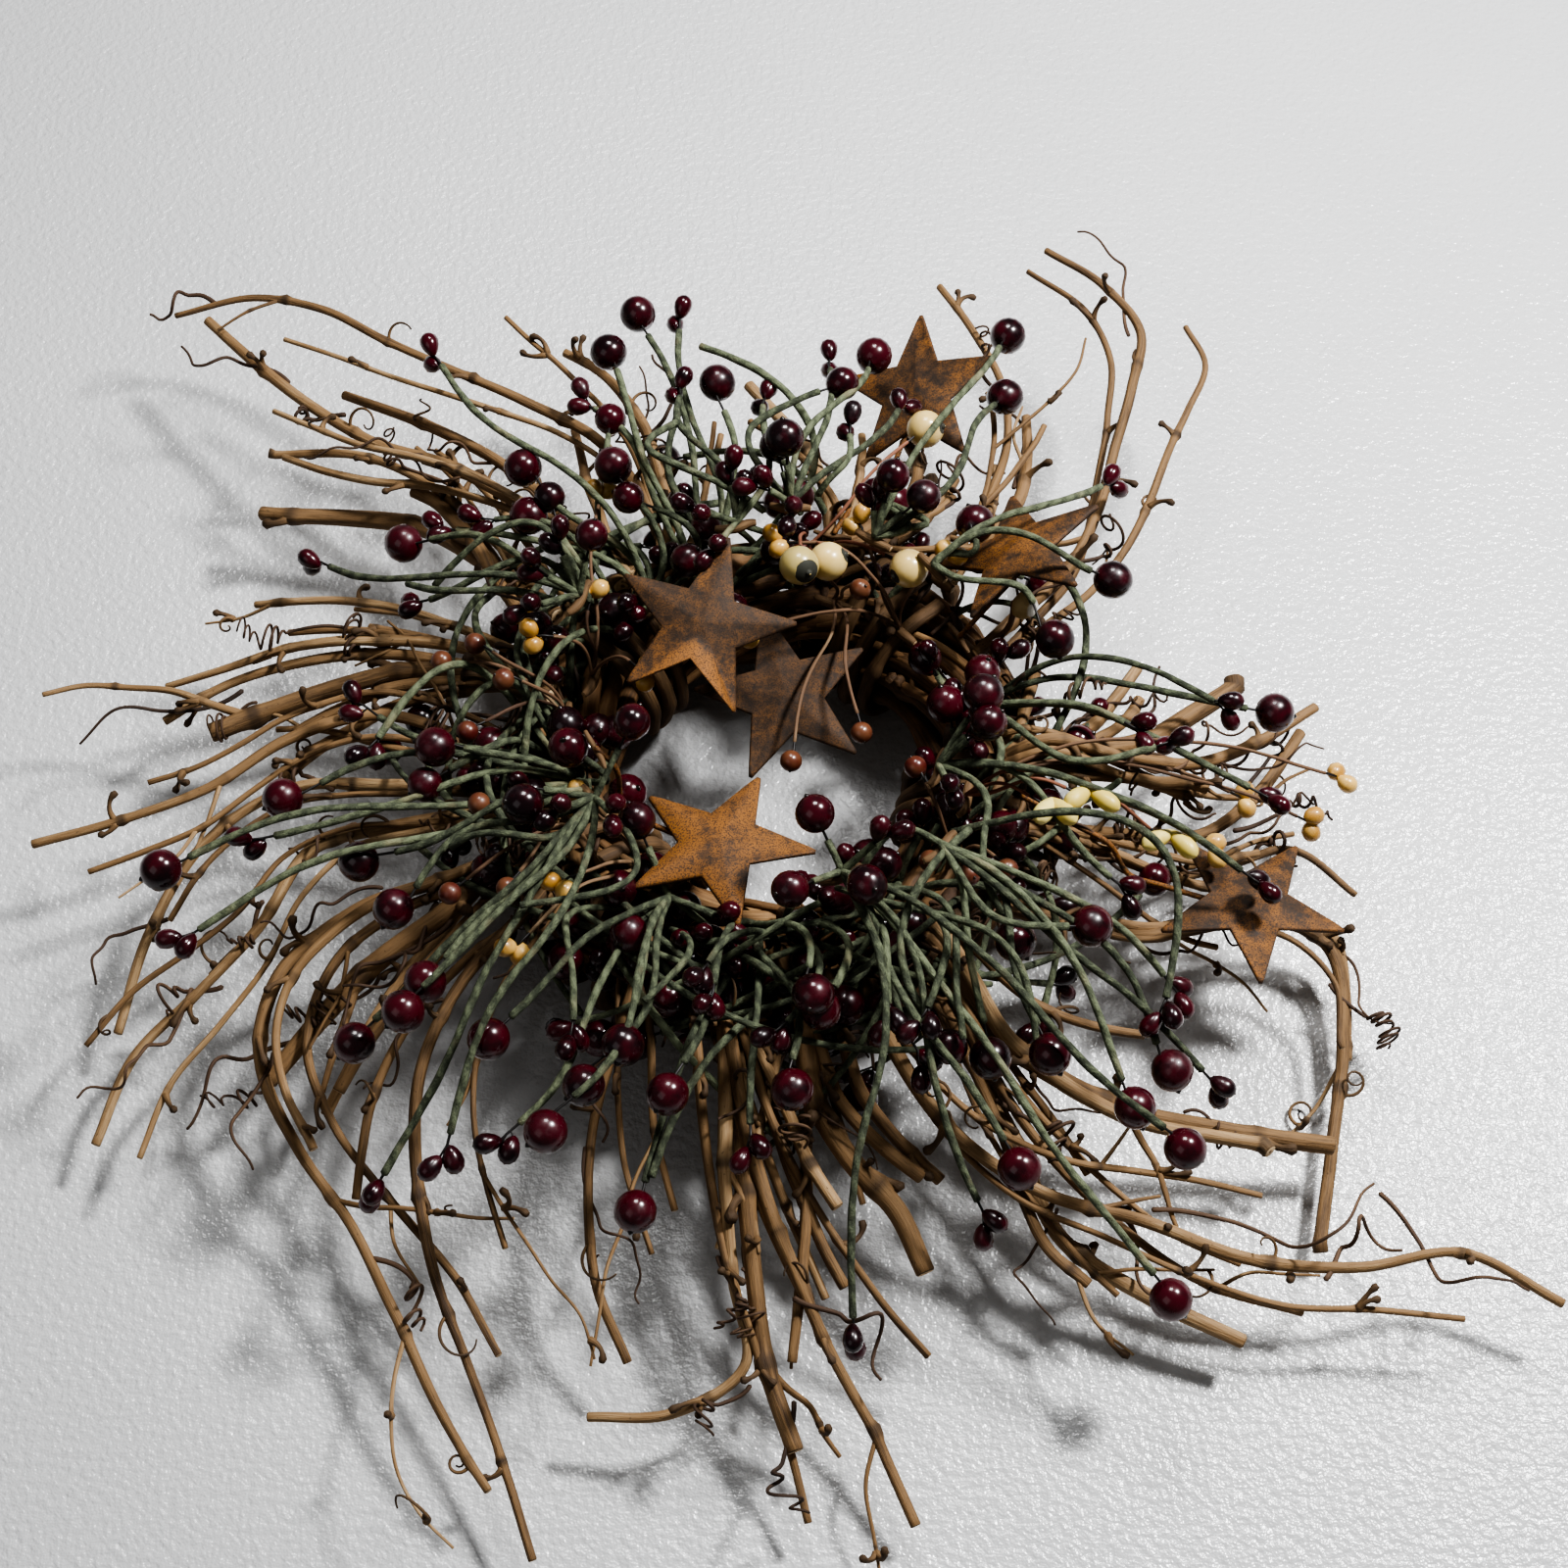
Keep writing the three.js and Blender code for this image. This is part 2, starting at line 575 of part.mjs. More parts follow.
// A star leans by tilt degrees towards the bearing lean, and turns by spin in its own plane. Its wire
// starts in the foot and runs into the back of the sheet.
function star({ at, lean, tilt, spin }) {
  return (root) => {
    const middle = place(at);
    const leanAxis = new THREE.Vector3(
      -Math.sin(THREE.MathUtils.degToRad(lean)),
      Math.cos(THREE.MathUtils.degToRad(lean)),
      0,
    );
    const pose = new THREE.Quaternion()
      .setFromAxisAngle(leanAxis, THREE.MathUtils.degToRad(tilt))
      .multiply(new THREE.Quaternion().setFromEuler(new THREE.Euler(Math.PI / 2, 0, 0)))
      .multiply(new THREE.Quaternion().setFromAxisAngle(
        new THREE.Vector3(0, 1, 0),
        THREE.MathUtils.degToRad(spin),
      ));
    const face = new THREE.Vector3(0, 1, 0).applyQuaternion(pose);
    const back = middle.clone().addScaledVector(face, -STAR_SHEET / 2);
    const behind = middle.clone().addScaledVector(face, -8);
    const curve = new THREE.CubicBezierCurve3(root, root.clone().lerp(behind, 0.5), behind, back);
    const wire = [0, 0.15, 0.4, 0.65, 0.85, 1].map((share, i) => ({
      point: curve.getPointAt(share),
      radius: i === 0 ? 0 : STAR_WIRE,
      stiff: i > 3,
    }));
    const last = wire.length - 1;
    wire[last].radius = 0;
    const tips = [0, 1, 2, 3, 4].map((arm) => {
      const angle = (arm / 5) * TAU;
      const offset = new THREE.Vector3(Math.sin(angle), 0, Math.cos(angle)).multiplyScalar(STAR_REACH);
      offset.y = -STAR_RISE - STAR_SHEET / 2;
      return { point: back.clone().add(offset.applyQuaternion(pose)), radius: 1.2, stiff: true };
    });
    const hub = { point: back.clone(), radius: 5.5, stiff: true };
    const stations = [...wire, hub, ...tips];
    const arms = tips.map((_, arm) => [last + 1, last + 2 + arm]);
    const solids = () => {
      const lift = wire[last].point.clone().addScaledVector(face, STAR_SHEET / 2);
      const blank = starBlank();
      blank.applyQuaternion(pose);
      blank.translate(lift.x, lift.y, lift.z);
      return [bentLathe(wire, STEM_SIDES), toSolid(blank)];
    };
    return { stations, links: [...chain(wire), ...arms], solids };
  };
}

// bearing and out place the foot of the wire on the ring. These four lie under the berries.
const LOW_STARS = [
  { name: "tin_star_2", bearing: 74, out: 10, at: [70, 127, 130], lean: 200, tilt: 25, spin: 30 },
  { name: "tin_star_4", bearing: 342, out: 12, at: [339, 142, 110], lean: 90, tilt: 10, spin: 0 },
  { name: "tin_star_5", bearing: 30, out: 2, at: [36, 86, 140], lean: 150, tilt: 30, spin: 40 },
  { name: "tin_star_6", bearing: 100, out: -10, at: [72, 14, 120], lean: 270, tilt: 15, spin: 50 },
];
// These two lie on top of everything.
const TOP_STARS = [
  { name: "tin_star_1", bearing: 128, out: -10, at: [136, 26, 172], lean: 270, tilt: 20, spin: 20 },
  { name: "tin_star_3", bearing: 205, out: -10, at: [252, 44, 150], lean: 90, tilt: 8, spin: 12 },
];

const STAR_BINDING = 1.6;
const layStar = (one) => {
  bunch(one.name, "rusty_tin", one.bearing, one.out, STAR_BINDING, [star(one)], STEM_SIDES);
};
LOW_STARS.forEach(layStar);

// ---- Berry and pip sprays ----

// A stem arches from the foot of its spray and ends in a berry, which is a ball on the same line.
function berryStem(stemRadius, beadRadius, tip, arch) {
  return (root) => {
    const end = place(tip);
    const crown = new THREE.Vector3().lerpVectors(root, end, 0.45);
    crown.z = Math.max(root.z, end.z) + arch * root.distanceTo(end);
    const curve = new THREE.QuadraticBezierCurve3(root, crown, end);
    const neck = 1 - (beadRadius * 0.96) / curve.getLength();
    const leave = Math.max(0.2, (1.6 * SPRAY_BINDING) / curve.getLength());
    const stations = [0, leave, 0.6, 1].map((share, i) => ({
      point: curve.getPointAt(share * neck),
      radius: i === 0 ? 0 : stemRadius,
    }));
    stations.at(-1).stiff = true;
    const onwards = end.clone().sub(stations.at(-1).point).normalize();
    for (const turn of beadRadius > PIP_RADIUS ? [-0.65, 0, 0.65] : [-0.45, 0.45]) {
      const point = end.clone().addScaledVector(onwards, turn * beadRadius);
      stations.push({ point, radius: beadRadius * Math.sqrt(1 - turn * turn), stiff: true });
    }
    stations.push({ point: end.clone().addScaledVector(onwards, beadRadius), radius: 0, stiff: true });
    return { stations, links: chain(stations), solids: (sides) => [bentLathe(stations, sides)] };
  };
}

// bearing and out place the foot on the ring; then the tip of each stem, and P where it ends in pips.
const P = PIP_RADIUS;
const B = BERRY_RADIUS;
const BERRY_SPRAYS = [
  { name: "berry_spray_01", bearing: 109, out: -4, tips: [
    [B, 106, 147, 150], [P, 101, 148, 136], [B, 111, 137, 146], [B, 98, 114, 156], [P, 117, 126, 140],
  ] },
  { name: "berry_spray_02", bearing: 98, out: -8, tips: [
    [B, 95, 86, 170], [B, 104, 92, 165], [P, 104, 113, 158], [P, 91, 108, 150],
  ] },
  { name: "berry_spray_03", bearing: 126, out: -6, tips: [
    [P, 129, 163, 144], [B, 132, 108, 160], [B, 121, 88, 172], [B, 137, 96, 150], [P, 146, 118, 136],
  ] },
  { name: "berry_spray_04", bearing: 148, out: 0, tips: [
    [B, 151, 122, 140], [P, 159, 111, 132], [P, 158, 144, 134], [B, 150, 86, 144],
  ] },
  { name: "berry_spray_05", bearing: 82, out: -4, tips: [
    [B, 76, 129, 150], [P, 82, 128, 140], [B, 84, 88, 168], [B, 75, 99, 150], [P, 69, 112, 155],
  ] },
  { name: "berry_spray_06", bearing: 56, out: -6, tips: [
    [B, 62, 154, 140], [B, 58, 133, 140], [B, 49, 104, 158], [B, 52, 92, 146], [B, 62, 76, 162],
  ] },
  { name: "berry_spray_07", bearing: 38, out: -2, tips: [
    [B, 43, 80, 158], [B, 21, 104, 150], [B, 13, 82, 168], [P, 39, 131, 136],
  ] },
  { name: "berry_spray_08", bearing: 12, out: -6, tips: [
    [B, 1, 107, 154], [B, 4, 92, 140], [B, 3, 144, 116], [P, 355, 104, 146], [P, 350, 142, 124],
  ] },
  { name: "berry_spray_09", bearing: 334, out: -10, tips: [
    [B, 339, 42, 150], [B, 312, 88, 172], [B, 309, 102, 176], [P, 330, 113, 140], [P, 339, 144, 128],
  ] },
  { name: "berry_spray_10", bearing: 312, out: 8, tips: [
    [B, 288, 60, 140], [B, 303, 132, 180], [B, 298, 122, 158], [B, 314, 120, 150], [B, 314, 151, 144],
    [B, 308, 153, 150], [P, 322, 139, 136], [P, 317, 162, 122],
  ] },
  { name: "berry_spray_11", bearing: 290, out: 0, tips: [
    [B, 295, 151, 150], [B, 309, 169, 112], [B, 302, 194, 102], [P, 290, 118, 158], [P, 291, 158, 114],
    [P, 277, 178, 108],
  ] },
  { name: "berry_spray_12", bearing: 268, out: -4, tips: [
    [B, 277, 95, 182], [B, 273, 117, 160], [B, 258, 123, 172], [P, 268, 131, 140], [P, 261, 98, 180],
    [B, 257, 150, 136],
  ] },
  { name: "berry_spray_13", bearing: 246, out: 0, tips: [
    [B, 251, 114, 178], [B, 248, 126, 166], [B, 247, 143, 158], [B, 236, 128, 178], [P, 242, 147, 144],
  ] },
  { name: "berry_spray_14", bearing: 218, out: -4, tips: [
    [B, 213, 119, 160], [B, 225, 126, 174], [B, 227, 137, 158], [B, 223, 148, 144], [P, 234, 173, 120],
    [P, 239, 160, 122], [B, 204, 121, 154],
  ] },
  { name: "berry_spray_15", bearing: 195, out: -8, tips: [
    [B, 193, 136, 158], [B, 199, 171, 172], [P, 205, 173, 144], [B, 190, 93, 166], [P, 196, 148, 140],
    [P, 177, 118, 134], [B, 212, 77, 182], [B, 200, 58, 180],
  ] },
];
const HIP_SPRAYS = [
  { name: "hip_spray_1", bearing: 172, out: -4, tips: [
    [170, 94, 148], [167, 85, 160], [176, 74, 168], [186, 84, 156],
  ] },
  { name: "hip_spray_2", bearing: 322, out: 2, tips: [
    [311, 66, 158], [314, 77, 164], [319, 84, 170], [330, 46, 168],
  ] },
  { name: "hip_spray_3", bearing: 66, out: -12, tips: [
    [80, 52, 158], [56, 46, 158], [352, 26, 134], [300, 12, 124],
  ] },
  { name: "hip_spray_4", bearing: 212, out: 2, tips: [[205, 86, 176], [215, 104, 158], [221, 92, 168]] },
];
const GOLD_SPRAYS = [
  { name: "gold_spray_1", bearing: 158, out: -8, tips: [
    [124, 88, 158], [144, 63, 160], [163, 70, 164], [164, 36, 158],
  ] },
  { name: "gold_spray_2", bearing: 232, out: -6, tips: [[210, 61, 158], [227, 82, 170], [230, 104, 172]] },
  { name: "gold_spray_3", bearing: 46, out: -10, tips: [
    [68, 67, 158], [44, 72, 160], [88, 50, 154], [107, 24, 158],
  ] },
  { name: "gold_spray_4", bearing: 346, out: 4, tips: [
    [354, 136, 88], [358, 164, 82], [343, 129, 104], [353, 156, 74],
  ] },
];
const CREAM_TIPS = [[65, 109, 146], [47, 58, 168], [67, 42, 168], [76, 34, 162]];
const YELLOW_TIPS = [[337, 70, 160], [335, 84, 164], [340, 92, 160], [340, 116, 132]];

const SPRAY_BINDING = 2.8;
const GREEN_ARCH = 0.1;
const BROWN_ARCH = 0.16;

function spray(name, slot, bearing, out, tips, stemRadius, arch) {
  const strands = tips.map(([bead, ...tip]) => berryStem(stemRadius, bead, tip, arch));
  bunch(name, slot, bearing, out, SPRAY_BINDING, strands, STEM_SIDES);
}

const sameBead = (bead, tips) => tips.map((tip) => [bead, ...tip]);

HIP_SPRAYS.forEach(({ name, bearing, out, tips }) => {
  spray(name, "brown_hip", bearing, out, sameBead(HIP_RADIUS, tips), THIN_STEM, BROWN_ARCH);
});
GOLD_SPRAYS.forEach(({ name, bearing, out, tips }) => {
  spray(name, "mustard_pip", bearing, out, sameBead(PIP_RADIUS, tips), THIN_STEM, BROWN_ARCH);
});
spray("cream_spray", "cream_berry", 80, 0, sameBead(BERRY_RADIUS, CREAM_TIPS), THIN_STEM, BROWN_ARCH);
spray("yellow_spray", "yellow_pip", 336, -2, sameBead(PIP_RADIUS, YELLOW_TIPS), THIN_STEM, BROWN_ARCH);
BERRY_SPRAYS.forEach(({ name, bearing, out, tips }) => {
  spray(name, "burgundy_berry", bearing, out, tips, STEM_RADIUS, GREEN_ARCH);
});

TOP_STARS.forEach(layStar);

// ---- Stand the wreath on the table with its middle over the origin ----

const bounds = new THREE.Box3().setFromObject(wreath);
const middle = bounds.getCenter(new THREE.Vector3());
wreath.children.forEach((mesh) => {
  mesh.geometry.translate(-middle.x, -middle.y, -bounds.min.z);
});

export default wreath;
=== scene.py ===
import math
import random
import bmesh
import bpy
import numpy as np
from mathutils import Euler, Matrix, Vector


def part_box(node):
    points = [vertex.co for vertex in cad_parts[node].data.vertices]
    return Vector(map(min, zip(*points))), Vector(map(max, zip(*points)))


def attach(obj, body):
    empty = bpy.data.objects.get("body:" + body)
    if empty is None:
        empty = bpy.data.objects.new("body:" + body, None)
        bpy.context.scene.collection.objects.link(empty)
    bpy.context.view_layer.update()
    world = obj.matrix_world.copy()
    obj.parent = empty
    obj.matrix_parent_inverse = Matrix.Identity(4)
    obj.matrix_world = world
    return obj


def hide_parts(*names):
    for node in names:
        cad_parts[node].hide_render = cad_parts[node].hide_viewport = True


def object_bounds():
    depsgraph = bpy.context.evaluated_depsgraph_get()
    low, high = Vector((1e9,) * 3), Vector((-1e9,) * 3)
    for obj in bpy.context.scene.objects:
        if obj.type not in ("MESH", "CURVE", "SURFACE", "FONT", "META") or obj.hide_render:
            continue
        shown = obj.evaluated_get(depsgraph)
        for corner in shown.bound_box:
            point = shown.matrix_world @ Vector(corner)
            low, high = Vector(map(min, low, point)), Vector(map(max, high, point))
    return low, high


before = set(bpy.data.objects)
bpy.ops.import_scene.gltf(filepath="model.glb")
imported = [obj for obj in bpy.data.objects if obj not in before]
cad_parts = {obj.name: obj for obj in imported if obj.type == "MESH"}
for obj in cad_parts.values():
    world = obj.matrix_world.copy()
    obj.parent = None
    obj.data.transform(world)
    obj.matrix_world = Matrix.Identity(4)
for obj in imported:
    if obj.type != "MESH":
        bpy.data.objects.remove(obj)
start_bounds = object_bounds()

# ---- Ring vines ----
# The ring is one round bundle of dry vine that goes round many times, each turn lying beside the
# last. The vine is brown bark with long grooves, swollen at its nodes, and cut square at its ends.

MM = 0.001
UP = np.array([0, 0, 1])
LOW, HIGH = (np.array(corner) for corner in start_bounds)
EVEN = 1.03  # the spokes of a strand's tip are equal within this
FIRST_NODE, NODE_GAP = (8, 30), (26, 52)  # millimetres along a vine or cane
RUNNERS = 9
STRIDE = 0.17  # radians round the ring from one place of a runner to the next


def trace(name, sides):
    """The middle line of each strand of a CAD node, from its tip inwards, as (place, radius), and the
    two ends of its foot. A strand is a row of rings with the same number of corners."""
    work = bmesh.new()
    work.from_mesh(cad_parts[name].data)
    bmesh.ops.remove_doubles(work, verts=work.verts[:], dist=1e-6)
    near = [[edge.other_vert(v).index for edge in v.link_edges] for v in work.verts]
    spots = [v.co.copy() for v in work.verts]
    work.free()
    strands, foot = [], []
    for tip, ring in enumerate(near):
        if len(ring) != sides:
            continue
        gaps = [(spots[i] - spots[tip]).length for i in ring]
        if max(gaps) > EVEN * min(gaps):
            continue
        line, seen, ring = [(spots[tip], 0.0)], {tip}, set(ring)
        while len(ring) == sides:
            middle = sum((spots[i] for i in ring), Vector()) / sides
            spans = [(spots[i] - middle).length for i in ring]
            if len(line) == 1 and max(spans) > EVEN * min(spans):
                break
            line.append((middle, sum(spans) / sides))
            seen |= ring
            ring = {j for i in ring for j in near[i]} - seen
        if len(line) > 3:
            usual = sorted(r for _, r in line[1:])[len(line) // 3]
            while line[-1][1] < 0.8 * usual:
                line.pop()
            strands.append(line)
        elif len(line) > 1:
            foot.append(line)
    return strands, foot


def unit(way):
    """The same way, or ways, one unit long."""
    return way / np.linalg.norm(way, axis=-1, keepdims=True)


def run_of(path):
    """How far along the path each of its places is."""
    return np.concatenate([[0], np.cumsum(np.linalg.norm(np.diff(path, axis=0), axis=1))])


def smooth(points, radii, step):
    """Places and radii every step along a smooth curve through the points."""
    points = np.array([tuple(p) for p in points], float)
    radii = np.array(radii, float)
    gaps = np.linalg.norm(np.diff(points, axis=0), axis=1)
    keep = np.concatenate([[True], gaps > 1e-5])
    points, radii = points[keep], radii[keep]
    knots = run_of(points)
    slope = np.gradient(points, knots, axis=0)
    count = max(int(knots[-1] / step), 4)
    at = np.linspace(0, knots[-1], count + 1)
    i = np.clip(np.searchsorted(knots, at, side="right") - 1, 0, len(knots) - 2)
    span = knots[i + 1] - knots[i]
    t = ((at - knots[i]) / span)[:, None]
    span = span[:, None]
    path = (
        (1 + 2 * t) * (1 - t) ** 2 * points[i]
        + t * (1 - t) ** 2 * span * slope[i]
        + t * t * (3 - 2 * t) * points[i + 1]
        + t * t * (t - 1) * span * slope[i + 1]
    )
    return path, np.interp(at, knots, radii)


class Stock:
    """Gathers the tubes and sheets of one piece and turns them into a mesh. Each corner carries
    grain (across, across, along, in millimetres), tint (one number per strand) and mark."""

    def __init__(self):
        self.spots, self.grain, self.tint, self.mark = [], [], [], []
        self.faces, self.slots = [], []
        self.count = 0

    def add(self, spots, faces, grain, tint, mark, slot=0):
        spots = np.asarray(spots, float)
        self.spots.append(spots)
        self.grain.append(np.asarray(grain, float))
        self.tint.append(np.broadcast_to(np.asarray(tint, float), (len(spots),)).copy())
        self.mark.append(np.broadcast_to(np.asarray(mark, float), (len(spots),)).copy())
        self.faces += [tuple(self.count + i for i in face) for face in faces]
        self.slots += [slot] * len(faces)
        self.count += len(spots)

    def tube(self, path, radius, sides, tint=0.5, slot=0, mark=None, cut=(False, False), cut_mark=None):
        """A round length along path. radius is one number per place, or one per corner. A cut end
        is flat with a small chamfer and carries cut_mark, or sawn wood: 2 at the rim and 3 at the
        heart. Any other end closes in a point."""
        path = np.asarray(path, float)
        n = len(path)
        radius = np.asarray(radius, float)
        if radius.ndim == 1:
            radius = np.repeat(radius[:, None], sides, axis=1)
        along = unit(np.gradient(path, axis=0))
        side = np.cross(along[0], (0.3, 0.2, 0.9) if abs(along[0][2]) < 0.9 else (1, 0, 0))
        sides_at = np.empty_like(path)
        for i in range(n):
            side = unit(side - along[i] * np.dot(side, along[i]))
            sides_at[i] = side
        ups = np.cross(along, sides_at)
        turn = np.arange(sides) * 2 * math.pi / sides
        across = sides_at[:, None] * np.cos(turn)[:, None] + ups[:, None] * np.sin(turn)[:, None]
        rings = path[:, None] + across * radius[:, :, None]
        s = run_of(path)
        thick = float(radius.mean())
        grain = np.empty_like(rings)
        grain[..., 0] = thick * np.cos(turn)
        grain[..., 1] = thick * np.sin(turn)
        grain[..., 2] = s[:, None]
        faces = []
        for i in range(n - 1):
            for j in range(sides):
                k = (j + 1) % sides
                faces.append((i * sides + j, i * sides + k, (i + 1) * sides + k, (i + 1) * sides + j))
        spots, grains = [rings.reshape(-1, 3)], [grain.reshape(-1, 3)]
        marks = [np.repeat(np.zeros(n) if mark is None else mark, sides)]
        rim_mark, heart_mark = (2.0, 3.0) if cut_mark is None else (cut_mark, cut_mark)
        total = n * sides
        for end, (i, away) in enumerate(((0, -along[0]), (n - 1, along[-1]))):
            closing = []
            for j in range(sides):
                k = (j + 1) % sides
                a, b, c, d = i * sides + j, i * sides + k, total + j, total + k
                closing += [(b, a, c, d), (d, c, total + sides)] if cut[end] else [(b, a, total)]
            faces += [face[::-1] for face in closing] if end else closing
            heart = np.array([[0, 0, s[i]]])
            if cut[end]:
                chamfer = away * thick * 0.16
                spots += [path[i] + (rings[i] - path[i]) * 0.82 + chamfer, path[i][None] + chamfer]
                grains += [grain[i] * 0.8, heart]
                marks += [np.full(sides, rim_mark), [heart_mark]]
                total += sides + 1
            else:
                spots.append(path[i][None] + away * float(radius[i].mean()) * 0.7)
                grains.append(heart)
                marks.append([0.0])
                total += 1
        # Each strand reads its own stretch of the grain.
        grain = np.concatenate(grains) / MM + 370 * tint * UP
        self.add(np.concatenate(spots), faces, grain, tint, np.concatenate(marks), slot)

    def build(self, name, materials):
        mesh = bpy.data.meshes.new(name)
        mesh.from_pydata(np.concatenate(self.spots).tolist(), [], self.faces)
        mesh.update()
        for label, kind, part, values in (
            ("grain", "FLOAT_VECTOR", "vector", self.grain),
            ("tint", "FLOAT", "value", self.tint),
            ("mark", "FLOAT", "value", self.mark),
        ):
            field = mesh.attributes.new(label, kind, "POINT")
            field.data.foreach_set(part, np.concatenate(values).astype(np.float32).ravel())
        for material in materials:
            mesh.materials.append(material)
        mesh.polygons.foreach_set("material_index", self.slots)
        mesh.polygons.foreach_set("use_smooth", [True] * len(self.faces))
        piece = bpy.data.objects.new(name, mesh)
        bpy.context.scene.collection.objects.link(piece)
        return piece


class Value:
    """One value in a material. Sums and products of values add the nodes they need."""

    def __init__(self, look, socket):
        self.look, self.socket = look, socket

    def maths(self, kind, *others):
        return self.look.node("ShaderNodeMath", {"operation": kind}, dict(enumerate((self, *others))))

    def __add__(self, other):
        return self.maths("ADD", other)

    __radd__ = __add__

    def __mul__(self, other):
        return self.maths("MULTIPLY", other)

    __rmul__ = __mul__

    def __sub__(self, other):
        return self.maths("SUBTRACT", other)

    def __rsub__(self, other):
        return (self * -1) + other

    def sine(self):
        return self.maths("SINE")

    def between(self, low, high):
        """0 below low, 1 above high, and smooth between them."""
        return self.look.node(
            "ShaderNodeMapRange",
            {"interpolation_type": "SMOOTHSTEP"},
            {"Value": self, "From Min": low, "From Max": high},
        )


class Look:
    """A material with one surface shader."""

    def __init__(self, name, **constants):
        self.material = bpy.data.materials.new(name)
        self.material.use_nodes = True
        self.tree = self.material.node_tree
        self.shader = self.tree.nodes["Principled BSDF"]
        for label, value in constants.items():
            self.shader.inputs[label.replace("_", " ")].default_value = value

    def node(self, kind, settings=None, inputs=None, output=0):
        node = self.tree.nodes.new(kind)
        for label, value in (settings or {}).items():
            setattr(node, label, value)
        for label, value in (inputs or {}).items():
            if isinstance(value, Value):
                self.tree.links.new(value.socket, node.inputs[label])
            else:
                node.inputs[label].default_value = value
        return Value(self, node.outputs[output])

    def field(self, name):
        output = "Vector" if name == "grain" else "Fac"
        return self.node("ShaderNodeAttribute", {"attribute_name": name}, output=output)

    def parts(self, vector):
        return [self.node("ShaderNodeSeparateXYZ", {}, {0: vector}, output=i) for i in range(3)]

    def scaled(self, vector, by):
        return self.node("ShaderNodeVectorMath", {"operation": "MULTIPLY"}, {0: vector, 1: by})

    def place(self):
        return self.node("ShaderNodeTexCoord", output="Object")

    def noise(self, vector, scale, detail=4, rough=0.55):
        return self.node(
            "ShaderNodeTexNoise", {}, {"Vector": vector, "Scale": scale, "Detail": detail, "Roughness": rough}
        )

    def mix(self, factor, first, second):
        """Two colours mixed by factor."""
        first, second = (c if isinstance(c, Value) else (*c, 1) for c in (first, second))
        inputs = {0: factor, 6: first, 7: second}
        return self.node("ShaderNodeMix", {"data_type": "RGBA"}, inputs, output=2)

    def surface(self, bump=None, strength=0.5, depth=0.2, **sockets):
        for label, value in sockets.items():
            self.tree.links.new(value.socket, self.shader.inputs[label.replace("_", " ")])
        if bump:
            inputs = {"Height": bump, "Strength": strength, "Distance": depth * MM}
            normal = self.node("ShaderNodeBump", {}, inputs)
            self.tree.links.new(normal.socket, self.shader.inputs["Normal"])
        return self.material


def bark(name, dark, mid, pale, grime=0.5):
    """Dry bark: long grooves, paler ribs, dark specks, darker nodes, and pale wood with a brown pith
    where it is cut."""
    look = Look(name)
    grain = look.field("grain")
    tint = look.field("tint")
    mark = look.field("mark")
    groove = look.noise(look.scaled(grain, (1.1, 1.1, 0.06)), 1.0, 5, 0.6)
    fine = look.noise(look.scaled(grain, (3.2, 3.2, 0.25)), 1.0, 3, 0.6)
    patch = look.noise(look.scaled(grain, (0.25, 0.25, 0.045)), 1.0, 3)
    speck = look.noise(look.scaled(grain, (1.6, 1.6, 0.9)), 1.0, 2).between(0.66, 0.74)
    shade = (groove * 0.55 + fine * 0.25 + patch * 0.45 + tint * 0.3 - 0.28).maths("MAXIMUM", 0.0)
    colour = look.mix(shade.between(0.18, 0.5), dark, mid)
    colour = look.mix(shade.between(0.5, 0.86), colour, pale)
    colour = look.mix(speck * 0.6, colour, tuple(0.35 * c for c in dark))
    node = mark.between(0.15, 0.9) - mark.between(1.2, 1.8)
    colour = look.mix(node * (patch + 0.25) * grime, colour, tuple(0.6 * c for c in dark))
    sawn = mark.between(1.5, 1.95)
    wood = look.mix(mark.between(2.55, 2.85), (0.62, 0.45, 0.27), (0.2, 0.11, 0.06))
    colour = look.mix(sawn, colour, wood)
    height = groove * 0.7 + fine * 0.3
    rough = 0.62 + groove * 0.25
    return look.surface(bump=height, strength=0.75, depth=0.7, Base_Color=colour, Roughness=rough)


VINE_BARK = bark("vine_bark", (0.045, 0.022, 0.01), (0.18, 0.095, 0.038), (0.36, 0.22, 0.1))


